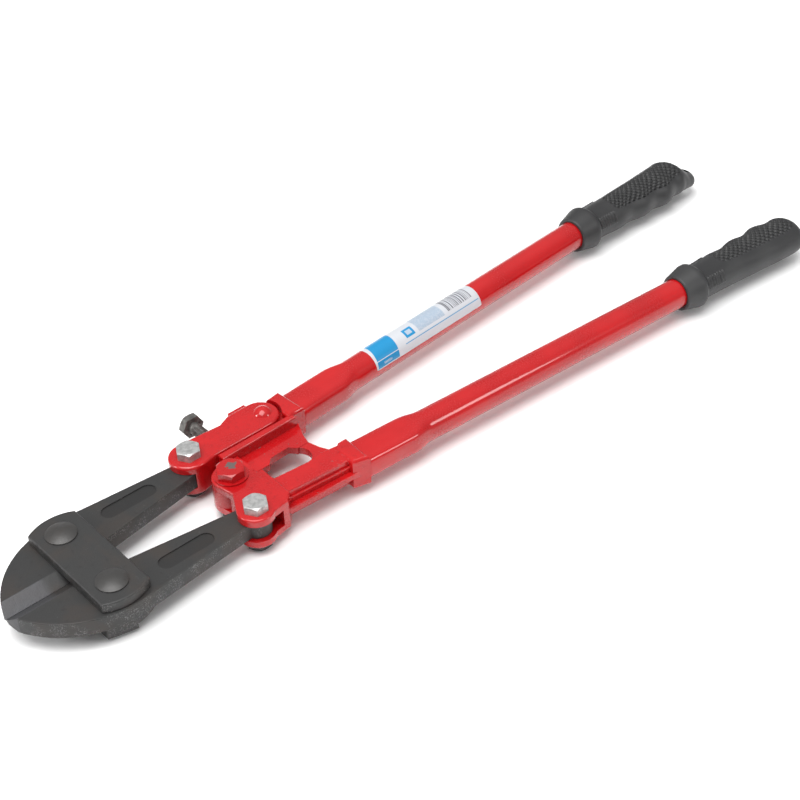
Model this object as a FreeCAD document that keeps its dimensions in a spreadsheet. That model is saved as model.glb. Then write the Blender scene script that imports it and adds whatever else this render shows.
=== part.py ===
import FreeCAD, Part
import math
import os
import Sketcher

# Bolt cutters: two forged jaws under a pair of strap plates, driven by two long
# handles that cross at a centre bolt. While the sub-parts are drawn the origin is
# the centre bolt's axis in the mid-plane of the jaws, -X towards the jaw tips,
# +X towards the grips, +Y towards handle B, +Z up. At the end every sub-part is
# moved so that the origin is the middle of the underside of the whole tool.

doc = FreeCAD.newDocument("bolt_cutters")
dim = doc.addObject("Spreadsheet::Sheet", "dim")

SIZES = [
    # places of the pivots and of the tool's ends
    ("jaw_tip_x", -156.6, "jaw tips"),
    ("jaw_pivot_x", -102.2, "jaw pivots in the strap plates"),
    ("jaw_pivot_y", 26.2, "jaw pivots, each side of the centre line"),
    ("tail_pivot_x", -7.0, "jaw tail bolts"),
    ("tail_pivot_y", 33.3, "jaw tail bolts, each side of the centre line"),
    ("socket_x", 71.9, "face of the casting that the tube butts against"),
    ("socket_y", 32.7, "tube axis at that face"),
    ("splay", 3.75, "angle of each handle to the centre line, degrees"),
    # fits
    ("mate_gap", 0.15, "half of the gap where the two halves meet on the centre line"),
    ("side_gap", 0.3, "gap between a jaw and the plate or ear beside it"),
    ("fit_gap", 0.05, "radial gap of a pin in its bore"),
    # jaws
    ("jaw_thick", 11.0, "jaw thickness"),
    ("jaw_cheek_x", -92.0, "rear end of the jaw's outer curve"),
    ("jaw_cheek_y", 44.1, "rear end of that curve, off the centre line"),
    ("jaw_curve_radius", 62.7, "outer curve from the tip to the arm"),
    ("arm_outer_y", 36.8, "outer edge of the arm at the tail"),
    ("arm_inner_y", 21.8, "inner edge of the arm at the tail"),
    ("throat_x", -86.0, "where the arm's inner edge begins"),
    ("throat_y", 10.7, "inner edge there, off the centre line"),
    ("heel_x", -107.0, "rear end of the faces that meet"),
    ("tail_radius", 8.6, "round end of the arm"),
    ("bevel_width", 8.4, "ground bevel, edge to jaw face"),
    ("bevel_land", 0.5, "thickness left at the cutting edge"),
    ("bevel_end_x", -113.0, "rear end of the ground bevel"),
    ("tip_flat", 2.2, "blunt width of each tip"),
    ("recess_front_x", -68.0, "front centre of the oblong recess"),
    ("recess_rear_x", -41.0, "rear centre of the oblong recess"),
    ("recess_y", 29.2, "recess, off the centre line"),
    ("recess_radius", 5.4, "recess end radius"),
    ("recess_depth", 0.7, "recess depth"),
    ("jaw_edge", 0.6, "rounding of the jaw's edges"),
    # strap plates
    ("strap_thick", 6.1, "strap plate thickness"),
    ("strap_front_x", -117.2, "front edge of the strap plates"),
    ("strap_rear_x", -85.3, "rear edge of the strap plates"),
    ("strap_corner_y", 38.2, "corners of the strap plates"),
    ("strap_end_radius", 30.0, "rounded ends of the strap plates"),
    ("strap_edge", 0.9, "rounding of the strap plates' outer edges"),
    ("lip_end_x", -99.6, "rear end of the lower plate's lip"),
    ("lip_drop", 3.0, "height of the lip below the lower plate"),
    ("lip_wall", 3.5, "width of the lip along the front edge"),
    ("lip_swell", 4.6, "how far the lip widens towards its rear end"),
    ("lip_room_dia", 23.0, "room for a nut inside the lip"),
    # pins, bolts and nuts
    ("jaw_pin_dia", 10.0, "jaw pivot bolt"),
    ("dome_dia", 19.0, "domed head of the jaw pivot bolt"),
    ("dome_rim", 0.8, "straight rim of the domed head"),
    ("dome_rise", 2.2, "dome above its rim"),
    ("jaw_nut_flats", 16.0, "jaw pivot nut across flats"),
    ("tail_pin_dia", 8.0, "jaw tail bolt"),
    ("hex_flats", 14.0, "jaw tail and adjusting bolts, across flats"),
    ("hex_height", 5.5, "hexagon head height"),
    ("centre_pin_dia", 10.0, "centre bolt"),
    ("centre_flats", 16.0, "centre bolt across flats"),
    ("bolt_end_z", 18.0, "lower ends of all the bolts, below the mid-plane"),
    ("bolt_proud", 1.0, "bolt end beyond its nut"),
    ("open_travel", 3.3, "length that the slot in jaw B adds to its pivot hole"),
    ("rivet_x", 51.0, "link rivet"),
    ("rivet_y", 35.0, "link rivet, off the centre line"),
    ("rivet_dia", 7.0, "link rivet shank"),
    ("rivet_head_dia", 12.0, "link rivet head"),
    ("rivet_head_rise", 3.2, "link rivet head height"),
    # castings and link
    ("ear_top", 11.0, "outer faces of ears and link, off the mid-plane"),
    ("hub_radius", 12.0, "hub at the centre bolt"),
    ("hub_clear", 0.4, "gap round the hub inside the fork"),
    ("boss_radius", 10.6, "raised seat under the centre bolt's head"),
    ("boss_rise", 1.2, "height of that seat"),
    ("ear_radius", 11.6, "ear at jaw tail bolt A"),
    ("nose_radius", 13.0, "link nose at jaw tail bolt B"),
    ("crest_half", 10.0, "half height of the castings' ridges"),
    ("web_half", 2.5, "half thickness of the castings' webs"),
    ("flange_half", 2.0, "half thickness of the outer flange"),
    ("ledge_half", 5.6, "half height of the ledge above that flange"),
    ("crest_inner_y", 16.8, "inner wall of ridge B"),
    ("crest_outer_y", 22.3, "outer wall of ridge B, that the adjusting bolt bears on"),
    ("link_outer_y", 44.0, "link's outer edge at its waist"),
    ("link_rear_y", 47.8, "link's outer edge at its rear"),
    ("link_slot_x", 29.0, "front end of the link's rear slot"),
    ("link_room", 14.2, "radius of the hollow behind the link"),
    ("cast_edge", 1.4, "rounding of the castings' edges"),
    ("block_half", 11.4, "half height of the tube socket block"),
    ("block_reach", 12.3, "half width of the block at the tube"),
    ("adjuster_x", 17.7, "adjusting bolt's axis"),
    ("adjuster_head_y", 64.3, "underside of the adjusting bolt's head"),
    # tubes
    ("tube_dia", 21.0, "tube outside diameter"),
    ("tube_wall", 1.6, "tube wall"),
    ("tube_length", 385.0, "tube length, face to hidden end in the grip"),
    ("press_length", 38.0, "pressed stretch at the casting"),
    ("press_run", 12.0, "run from the pressed to the round section"),
    ("press_half_wide", 12.3, "pressed section, half width"),
    ("press_half_high", 9.1, "pressed section, half height"),
    ("tang_wide", 16.6, "casting's tang inside the tube, width"),
    ("tang_high", 9.4, "tang height"),
    ("tang_length", 34.0, "tang length"),
    # grips
    ("cover_a", 111.0, "length of tube A inside its grip"),
    ("cover_b", 108.7, "length of tube B inside its grip"),
    ("mouth_radius", 12.4, "collar at the mouth"),
    ("collar_radius", 16.0, "collar at its widest"),
    ("collar_flare", 13.0, "length of the collar's front cone"),
    ("collar_rim", 2.5, "length of the collar's rim"),
    ("collar_back", 5.0, "length of the collar's rear cone"),
    ("grip_bore", 112.0, "depth of the grip's bore from its mouth"),
    ("hang_dia", 7.4, "hang hole through grip B"),
    ("hang_from_end", 7.0, "hang hole's axis from the grip's end"),
    ("hang_inward", 7.0, "hang hole's axis from the tube's, inwards"),
    # label
    ("label_at", 66.5, "label's near end, along the tube"),
    ("label_length", 101.0, "label length"),
    ("label_thick", 0.15, "label thickness"),
    ("label_wrap", 150.0, "angle that the label wraps, degrees"),
    ("label_start", 28.0, "angle of the label's rear edge above the level, degrees"),
]

# One row for each station along the grip, measured from its mouth:
# half width, half height, and how far the section's centre lies inwards and down.
GRIP_STATIONS = [
    ("neck", 16.0, 12.7, 12.6, 0.0, 0.0),
    ("wrist", 30.0, 13.1, 12.7, 0.4, 0.2),
    ("finger_one", 43.0, 14.0, 12.8, 1.2, 0.4),
    ("groove_one", 55.0, 13.7, 12.9, 0.9, 0.5),
    ("finger_two", 69.0, 15.8, 13.0, 2.2, 0.8),
    ("groove_two", 80.5, 15.2, 13.0, 1.6, 0.9),
    ("finger_three", 93.0, 17.3, 13.1, 2.9, 1.0),
    ("groove_three", 105.0, 15.8, 13.0, 1.5, 1.0),
    ("heel", 112.5, 16.3, 12.9, 2.0, 1.0),
]
# the rest of grip A, a plain rounded end, and of grip B, a tail that narrows and drops
CAP_STATIONS = [
    ("cap_one", 117.5, 14.9, 11.8, 1.9, 1.0),
    ("cap_two", 120.5, 11.6, 8.8, 1.8, 1.0),
    ("cap_three", 122.0, 7.2, 5.4, 1.7, 1.0),
]
TAIL_STATIONS = [
    ("tail_one", 119.5, 13.4, 11.4, 3.6, 2.2),
    ("tail_two", 126.5, 10.2, 8.8, 5.8, 4.6),
    ("tail_three", 131.5, 7.6, 6.2, 6.8, 5.8),
    ("tail_four", 134.2, 4.0, 3.0, 7.0, 6.0),
]
STATION_FIELDS = ("at", "wide", "high", "inward", "down")


def fill_sheet():
    """Write every driving size into the sheet, one aliased cell each."""
    row = 1
    for alias, size, meaning in SIZES:
        dim.set(f"A{row}", meaning)
        dim.set(f"B{row}", str(size))
        dim.setAlias(f"B{row}", alias)
        row += 1
    for station, *sizes in GRIP_STATIONS + CAP_STATIONS + TAIL_STATIONS:
        for field, size in zip(STATION_FIELDS, sizes):
            dim.set(f"A{row}", f"grip {station} {field}")
            dim.set(f"B{row}", str(size))
            dim.setAlias(f"B{row}", f"{station}_{field}")
            row += 1
    doc.recompute()


fill_sheet()

# the grips' rear ends, and the distance that centres the tool between them and the jaw tips
GRIP_END_X = ("(dim.socket_x + (dim.tube_length - dim.cover_b + dim.tail_four_at) * cos(dim.splay)"
              " + (dim.tail_four_inward + dim.tail_four_wide) * sin(dim.splay))")
MIDDLE_X = f"(-(dim.jaw_tip_x + {GRIP_END_X}) / 2)"

UP = FreeCAD.Vector(0, 0, 1)
# turns a shape's own Z onto +X, its X onto +Y and its Y onto +Z
ALONG_X = FreeCAD.Rotation(FreeCAD.Vector(1, 1, 1), 120)
# turns a shape's own Z onto -Y
ALONG_MINUS_Y = FreeCAD.Rotation(FreeCAD.Vector(1, 0, 0), 90)
SIDE_A = -1
SIDE_B = 1
STRAP_TOP = "(dim.jaw_thick / 2 + dim.side_gap + dim.strap_thick)"
FORK = "(dim.jaw_thick / 2 + dim.side_gap)"


def size_of(expression):
    """The present number of an expression on the sheet's cells."""
    return float(dim.evalExpression(str(expression)))


def bind(item, **bindings):
    """Bind properties to expressions; a double underscore stands for a dot."""
    for name, expression in bindings.items():
        item.setExpression(name.replace("__", "."), str(expression))
    return item


def new(kind, name, **bindings):
    """A document object with its properties bound to the sheet."""
    return bind(doc.addObject(kind, name), **bindings)


def place(item, x=0, y=0, z=0, rotation=None):
    """Place an object, with its position bound to the sheet."""
    if rotation is not None:
        item.Placement.Rotation = rotation
    return bind(item, Placement__Base__x=x, Placement__Base__y=y, Placement__Base__z=z)


def cut(name, base, *tools):
    """Base less each tool in turn."""
    for count, tool in enumerate(tools, start=1):
        last = count == len(tools)
        step = doc.addObject("Part::Cut", name if last else f"{name}_less_{count}")
        step.Base = base
        step.Tool = tool
        base = step
    return base


def fuse(name, *pieces):
    """One solid made of several that overlap."""
    whole = doc.addObject("Part::MultiFuse", name)
    whole.Shapes = list(pieces)
    whole.Refine = True
    return whole


def group(name, *pieces):
    """Several like solids under one name."""
    whole = doc.addObject("Part::Compound", name)
    whole.Links = list(pieces)
    return whole


def new_body(name):
    return doc.addObject("PartDesign::Body", name)


def arc_centre(start, end, radius, turn):
    """Centre of the short arc from start to end; turn +1 bulges to the right of travel."""
    chord = end - start
    rise = math.sqrt(radius ** 2 - (chord.Length / 2) ** 2)
    left = UP.cross(chord).normalize()
    return (start + end) * 0.5 + left * (rise * turn)


def outline(body, name, corners, plane="XY_Plane", side=1):
    """A fully bound closed sketch. A corner is (x, y), or (x, y, radius, turn) where the
    edge that leaves it is an arc. side -1 mirrors the outline across the first axis."""
    sketch = body.newObject("Sketcher::SketchObject", name)
    support = [item for item in body.Origin.OriginFeatures if item.Role == plane][0]
    sketch.AttachmentSupport = [(support, "")]
    sketch.MapMode = "FlatFace"
    exprs = [(str(c[0]), str(c[1]) if side > 0 else f"-({c[1]})") for c in corners]
    points = [FreeCAD.Vector(size_of(x), size_of(y), 0) for x, y in exprs]
    edges = []
    rules = []
    bound = []
    ends = []
    for index, corner in enumerate(corners):
        start = points[index]
        end = points[(index + 1) % len(points)]
        if len(corner) == 2:
            edges.append(Part.LineSegment(start, end))
            ends.append((1, 2))
            continue
        radius = size_of(corner[2])
        turn = corner[3] * side
        centre = arc_centre(start, end, radius, turn)
        first, last = (start, end) if turn > 0 else (end, start)
        angles = [math.atan2(p.y - centre.y, p.x - centre.x) for p in (first, last)]
        if angles[1] < angles[0]:
            angles[1] += 2 * math.pi
        circle = Part.Circle(centre, UP, radius)
        edges.append(Part.ArcOfCircle(circle, angles[0], angles[1]))
        ends.append((1, 2) if turn > 0 else (2, 1))
        bound.append((Sketcher.Constraint("Radius", index, radius), str(corner[2])))
    for index, (x_expr, y_expr) in enumerate(exprs):
        before = (index - 1) % len(points)
        rules.append(Sketcher.Constraint("Coincident", before, ends[before][1], index, ends[index][0]))
        spot = (-1, 1, index, ends[index][0])
        bound.append((Sketcher.Constraint("DistanceX", *spot, points[index].x), x_expr))
        bound.append((Sketcher.Constraint("DistanceY", *spot, points[index].y), y_expr))
    sketch.addGeometry(edges, False)
    sketch.addConstraint(rules + [rule for rule, _ in bound])
    for number, (_, expression) in enumerate(bound, start=len(rules)):
        sketch.setExpression(f"Constraints[{number}]", expression)
    return sketch


def circle(body, name, x, y, radius, plane="XY_Plane", side=1):
    """A sketch of one bound circle."""
    sketch = body.newObject("Sketcher::SketchObject", name)
    support = [item for item in body.Origin.OriginFeatures if item.Role == plane][0]
    sketch.AttachmentSupport = [(support, "")]
    sketch.MapMode = "FlatFace"
    y_expr = str(y) if side > 0 else f"-({y})"
    centre = FreeCAD.Vector(size_of(x), size_of(y_expr), 0)
    sketch.addGeometry([Part.Circle(centre, UP, size_of(radius))], False)
    sketch.addConstraint([
        Sketcher.Constraint("Radius", 0, size_of(radius)),
        Sketcher.Constraint("DistanceX", -1, 1, 0, 3, centre.x),
        Sketcher.Constraint("DistanceY", -1, 1, 0, 3, centre.y),
    ])
    for number, expression in enumerate((radius, x, y_expr)):
        sketch.setExpression(f"Constraints[{number}]", str(expression))
    return sketch


def pad(body, name, sketch, half):
    """Add the sketch's area, as thick above its plane as below."""
    feature = body.newObject("PartDesign::Pad", name)
    feature.Profile = sketch
    feature.SideType = "Symmetric"
    return bind(feature, Length=f"2 * ({half})")


def pocket(body, name, sketch, half):
    """Remove the sketch's area, as far above its plane as below."""
    feature = body.newObject("PartDesign::Pocket", name)
    feature.Profile = sketch
    feature.SideType = "Symmetric"
    bind(feature, Length=f"2 * ({half})")
    check_removed(body, feature)
    return feature


def raise_sketch(sketch, height):
    """Move a sketch off its plane."""
    bind(sketch, AttachmentOffset__Base__z=height)
    return sketch


def check_removed(body, feature):
    """Stop if a cutting feature took nothing away."""
    doc.recompute()
    before = feature.BaseFeature.Shape.Volume
    if feature.Shape.Volume >= before - 1e-6:
        raise RuntimeError(f"{body.Label}: {feature.Name} removes nothing")


def turned(name, corners):
    """A body turned about its own Z from a profile of (radius, height) corners."""
    body = new_body(name)
    profile = outline(body, f"{name}_profile", corners, plane="XZ_Plane")
    spin = body.newObject("PartDesign::Revolution", f"{name}_turned")
    spin.Profile = profile
    spin.ReferenceAxis = (profile, ["V_Axis"])
    spin.Angle = 360
    return body


def round_edges(body, name, radius, wanted):
    """Round every edge of the body that the test accepts."""
    doc.recompute()
    base = body.Tip
    names = [f"Edge{n}" for n, edge in enumerate(base.Shape.Edges, start=1) if wanted(edge)]
    feature = body.newObject("PartDesign::Fillet", name)
    feature.Base = (base, names)
    return bind(feature, Radius=radius)


def lies_at(height):
    """Test for edges that lie in a level plane that far above or below the mid-plane."""
    def wanted(edge):
        box = edge.BoundBox
        flat = box.ZMax - box.ZMin < 1e-4
        return flat and abs(abs(box.ZMax) - size_of(height)) < 1e-4
    return wanted


def splayed(item, side, along=0):
    """Put a shape drawn along +X on a handle's axis, a distance along from the socket."""
    item.Placement.Rotation = FreeCAD.Rotation(UP, side)
    turn = f"{side} * dim.splay"
    reach_x = f"dim.socket_x + ({along}) * cos(dim.splay)"
    reach_y = f"{side} * (dim.socket_y + ({along}) * sin(dim.splay))"
    place(item, reach_x, reach_y)
    return bind(item, Placement__Rotation__Angle=turn)


# ---------------------------------------------------------------- jaws

def make_jaw(name, side):
    """A forged jaw: blade, pivot and arm, with the ground bevels and the recess."""
    body = new_body(name)
    profile = outline(body, f"{name}_profile", [
        ("dim.jaw_tip_x", "dim.mate_gap"),
        ("dim.heel_x", "dim.mate_gap"),
        ("dim.throat_x - 9", "dim.throat_y - 3.6"),
        ("dim.throat_x", "dim.throat_y"),
        ("dim.tail_pivot_x - 3", "dim.arm_inner_y"),
        ("dim.tail_pivot_x", "dim.tail_pivot_y - dim.tail_radius"),
        ("dim.tail_pivot_x", "dim.arm_outer_y"),
        ("dim.jaw_cheek_x", "dim.jaw_cheek_y", "dim.jaw_curve_radius", 1),
        ("dim.jaw_tip_x", "dim.mate_gap + dim.tip_flat"),
    ], side=side)
    pad(body, f"{name}_forging", profile, "dim.jaw_thick / 2")
    end = circle(body, f"{name}_end", "dim.tail_pivot_x", "dim.tail_pivot_y", "dim.tail_radius", side=side)
    pad(body, f"{name}_tail", end, "dim.jaw_thick / 2")
    round_edges(body, f"{name}_edges", "dim.jaw_edge", jaw_rim)
    if side == SIDE_A:
        bore = circle(body, f"{name}_pivot", "dim.jaw_pivot_x", "dim.jaw_pivot_y",
                      "dim.jaw_pin_dia / 2 + dim.fit_gap", side=side)
    else:
        bore = outline(body, f"{name}_pivot", slot_across(
            "dim.jaw_pivot_x", "dim.jaw_pivot_y - dim.open_travel", "dim.jaw_pivot_y",
            "dim.jaw_pin_dia / 2 + dim.side_gap"), side=side)
    pocket(body, f"{name}_pivot_bore", bore, "dim.jaw_thick")
    bolt = circle(body, f"{name}_bolt", "dim.tail_pivot_x", "dim.tail_pivot_y",
                  "dim.tail_pin_dia / 2 + dim.fit_gap", side=side)
    pocket(body, f"{name}_tail_bore", bolt, "dim.jaw_thick")
    recess = outline(body, f"{name}_recess", [
        ("dim.recess_front_x", "dim.recess_y + dim.recess_radius", "dim.recess_radius + 0.001", 1),
        ("dim.recess_front_x", "dim.recess_y - dim.recess_radius"),
        ("dim.recess_rear_x", "dim.recess_y - dim.recess_radius", "dim.recess_radius + 0.001", 1),
        ("dim.recess_rear_x", "dim.recess_y + dim.recess_radius"),
    ], side=side)
    raise_sketch(recess, "dim.jaw_thick / 2")
    pocket(body, f"{name}_recessed", recess, "dim.recess_depth")
    for word, level in (("top", 1), ("bottom", -1)):
        grind_bevel(body, f"{name}_bevel_{word}", side, level)
    return body


def grind_bevel(body, name, side, level):
    """Grind the bevel beside the cutting edge on one face."""
    face = f"{level} * (dim.jaw_thick / 2"
    edge = f"{side} * (dim.mate_gap - 1)"
    rear = f"{side} * (dim.mate_gap + dim.bevel_width)"
    depth = "(dim.jaw_thick - dim.bevel_land) / 2"
    wedge = outline(body, name, [
        (edge, f"{face} + 1)"),
        (edge, f"{face} - {depth} * (1 + 1 / dim.bevel_width))"),
        (rear, f"{face})"),
        (rear, f"{face} + 1)"),
    ], plane="YZ_Plane")
    raise_sketch(wedge, "(dim.bevel_end_x + dim.jaw_tip_x - 5) / 2")
    pocket(body, f"{name}_ground", wedge, "(dim.bevel_end_x - dim.jaw_tip_x + 5) / 2")


def jaw_rim(edge):
    """Test for the jaw's long outer and inner edges, clear of the faces that meet."""
    box = edge.BoundBox
    flat = box.ZMax - box.ZMin < 1e-4
    meets = max(abs(box.YMin), abs(box.YMax)) < size_of("dim.mate_gap") + 1e-3
    return flat and edge.Length > 25 and not meets


def slot_across(x, inner_y, outer_y, radius):
    """Corners of a round-ended slot that runs across the tool."""
    return [
        (f"{x} + ({radius})", inner_y),
        (f"{x} + ({radius})", outer_y, f"{radius} + 0.001", 1),
        (f"{x} - ({radius})", outer_y),
        (f"{x} - ({radius})", inner_y, f"{radius} + 0.001", 1),
    ]


# ---------------------------------------------------------------- strap plates

def make_strap(name, level):
    """One of the two plates that hold the jaws together."""
    body = new_body(name)
    profile = outline(body, f"{name}_profile", [
        ("dim.strap_rear_x", "-dim.strap_corner_y"),
        ("dim.strap_rear_x", "dim.strap_corner_y", "dim.strap_end_radius", 1),
        ("dim.strap_front_x", "dim.strap_corner_y"),
        ("dim.strap_front_x", "-dim.strap_corner_y", "dim.strap_end_radius", 1),
    ])
    pad(body, f"{name}_plate", profile, "dim.strap_thick / 2")
    for word, side in (("a", SIDE_A), ("b", SIDE_B)):
        hole = circle(body, f"{name}_hole_{word}", "dim.jaw_pivot_x", "dim.jaw_pivot_y",
                      "dim.jaw_pin_dia / 2 + dim.fit_gap", side=side)
        pocket(body, f"{name}_bore_{word}", hole, "dim.strap_thick")
    outer = "dim.strap_thick / 2"

    def wanted(edge):
        box = edge.BoundBox
        hole = box.XMax < size_of("dim.strap_rear_x") - 1 and box.XMin > size_of("dim.strap_front_x") + 1
        return not hole and box.ZMax - box.ZMin < 1e-4 and abs(box.ZMax - level * size_of(outer)) < 1e-4
    round_edges(body, f"{name}_edges", "dim.strap_edge", wanted)
    middle = "dim.jaw_thick / 2 + dim.side_gap + dim.strap_thick / 2"
    return place(body, 0, 0, f"{level} * ({middle})")


def make_lower_strap(name):
    """The lower plate, with the lip that stands down from the front half of its rim."""
    plate = make_strap(f"{name}_plate", -1)
    foot = slab(f"{name}_lip", "dim.lip_drop / 2 + 0.5", [
        ("dim.lip_end_x", "-dim.strap_corner_y - dim.lip_swell"),
        ("dim.lip_end_x", "dim.strap_corner_y + dim.lip_swell"),
        ("dim.strap_front_x", "dim.strap_corner_y"),
        ("dim.strap_front_x", "-dim.strap_corner_y"),
    ])
    place(foot, 0, 0, f"-{STRAP_TOP} - dim.lip_drop / 2 + 0.5")
    rooms = [drill(f"{name}_nut_room_{word}", "dim.jaw_pivot_x", "dim.jaw_pivot_y", "dim.lip_room_dia",
                   "dim.bolt_end_z + 5", side=side) for word, side in (("a", SIDE_A), ("b", SIDE_B))]
    middle = new("Part::Box", f"{name}_between", Length="60", Width="2 * dim.jaw_pivot_y", Height="30")
    place(middle, "dim.strap_front_x + dim.lip_wall", "-dim.jaw_pivot_y", f"-{STRAP_TOP} - 30")
    lip = cut(f"{name}_rim", foot, *rooms, middle)
    return fuse(name, plate, lip)


def make_jaw_bolt(name, side):
    """Domed pivot bolt through both strap plates and a jaw."""
    bolt = turned(name, [
        ("0", "-dim.bolt_end_z"),
        ("dim.jaw_pin_dia / 2 - 0.8", "-dim.bolt_end_z"),
        ("dim.jaw_pin_dia / 2", "-dim.bolt_end_z + 0.8"),
        ("dim.jaw_pin_dia / 2", STRAP_TOP),
        ("dim.dome_dia / 2", STRAP_TOP),
        ("dim.dome_dia / 2", f"{STRAP_TOP} + dim.dome_rim",
         "((dim.dome_dia / 2) ^ 2 + dim.dome_rise ^ 2) / (2 * dim.dome_rise)", 1),
        ("0", f"{STRAP_TOP} + dim.dome_rim + dim.dome_rise"),
    ])
    return place(bolt, "dim.jaw_pivot_x", f"{side} * dim.jaw_pivot_y")


# ---------------------------------------------------------------- hexagon heads and nuts

def hexagon(name, flats, height, crown=1):
    """A hexagon prism whose corners are chamfered at its top, and its foot if crown is 2."""
    prism = new("Part::Prism", f"{name}_prism", Circumradius=f"{flats} / 2 / cos(30)", Height=height)
    prism.Polygon = 6
    spread = f"({height}) / tan(30)"
    cone = new("Part::Cone", f"{name}_crown", Height=height,
               Radius1=f"0.96 * {flats} / 2 + {spread}", Radius2=f"0.96 * {flats} / 2")
    tools = [prism, cone]
    if crown == 2:
        foot = new("Part::Cone", f"{name}_foot", Height=height,
                   Radius1=f"0.96 * {flats} / 2", Radius2=f"0.96 * {flats} / 2 + {spread}")
        tools.append(foot)
    common = doc.addObject("Part::MultiCommon", f"{name}_hexagon")
    common.Shapes = tools
    return common


def make_hex_bolt(name, flats, diameter, length, height="dim.hex_height"):
    """A hexagon bolt: head upwards from the origin, shank downwards with a chamfered end."""
    head = hexagon(name, flats, height)
    shank = new("Part::Cylinder", f"{name}_shank", Radius=f"{diameter} / 2",
                Height=f"{length} - 0.8 + 0.5")
    place(shank, 0, 0, f"-({length}) + 0.8")
    point = new("Part::Cone", f"{name}_point", Height="0.8",
                Radius1=f"{diameter} / 2 - 0.8", Radius2=f"{diameter} / 2")
    place(point, 0, 0, f"-({length})")
    return fuse(name, head, shank, point)


def make_nut(name, flats, diameter, height):
    """A hexagon nut with a plain bore."""
    blank = hexagon(name, flats, height, crown=2)
    bore = new("Part::Cylinder", f"{name}_bore", Radius=f"{diameter} / 2 + dim.fit_gap",
               Height=f"{height} + 2")
    place(bore, 0, 0, -1)
    return cut(name, blank, bore)


# ---------------------------------------------------------------- castings

def tail_slot():
    """Corners of the space in which a jaw's tail swings; it is open outwards."""
    return [
        ("dim.tail_pivot_x - 40", "dim.tail_pivot_y - 17"),
        ("dim.tail_pivot_x - 3", "dim.arm_inner_y - 0.6"),
        ("dim.tail_pivot_x + 4", "dim.tail_pivot_y - dim.tail_radius - 0.5"),
        ("dim.tail_pivot_x + dim.tail_radius + 2", "dim.tail_pivot_y - 3", "5", 1),
        ("dim.tail_pivot_x + dim.tail_radius + 5", "dim.tail_pivot_y + 2"),
        ("dim.tail_pivot_x + dim.tail_radius + 5", "dim.tail_pivot_y + 30"),
        ("dim.tail_pivot_x - 40", "dim.tail_pivot_y + 30"),
    ]


def socket_corners(front_x, front_inner, front_outer):
    """Corners of the block that the tube butts against, its rear face square to the tube."""
    return [
        (front_x, front_inner),
        ("dim.socket_x - 6", "dim.socket_y - dim.block_reach"),
        ("dim.socket_x + dim.block_reach * sin(dim.splay)",
         "dim.socket_y - dim.block_reach * cos(dim.splay)"),
        ("dim.socket_x - dim.block_reach * sin(dim.splay)",
         "dim.socket_y + dim.block_reach * cos(dim.splay)"),
        (front_x, front_outer),
    ]


def tang(name, side):
    """The tang that the tube is pressed over."""
    bar = new("Part::Box", f"{name}_tang", Length="dim.tang_length + 3",
              Width="dim.tang_wide", Height="dim.tang_high")
    bar.Placement.Rotation = FreeCAD.Rotation(UP, side)
    half = "dim.tang_wide / 2"
    x = f"dim.socket_x - 3 * cos(dim.splay) + {half} * sin({side} * dim.splay)"
    y = f"{side} * (dim.socket_y - 3 * sin(dim.splay)) - {half} * cos(dim.splay)"
    place(bar, x, y, "-dim.tang_high / 2")
    return bind(bar, Placement__Rotation__Angle=f"{side} * dim.splay")


def slab(name, half, *outlines, side=1, rounding=None):
    """A body of one or more outlines or discs, all as thick, its level edges rounded.
    An outline is a list of corners; a disc is a tuple (x, y, radius)."""
    body = new_body(name)
    for number, shape in enumerate(outlines, start=1):
        draw = circle if isinstance(shape, tuple) else outline
        details = shape if isinstance(shape, tuple) else (shape,)
        pad(body, f"{name}_pad_{number}", draw(body, f"{name}_sketch_{number}", *details, side=side), half)
    if rounding is not None:
        round_edges(body, f"{name}_rounded", rounding, lies_at(half))
    return body


def drill(name, x, y, diameter, half, side=1):
    """A level-ended cylinder that makes a bore."""
    tool = new("Part::Cylinder", name, Radius=f"{diameter} / 2 + dim.fit_gap", Height=f"2 * ({half})")
    return place(tool, x, f"{side} * ({y})", f"-({half})")


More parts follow.
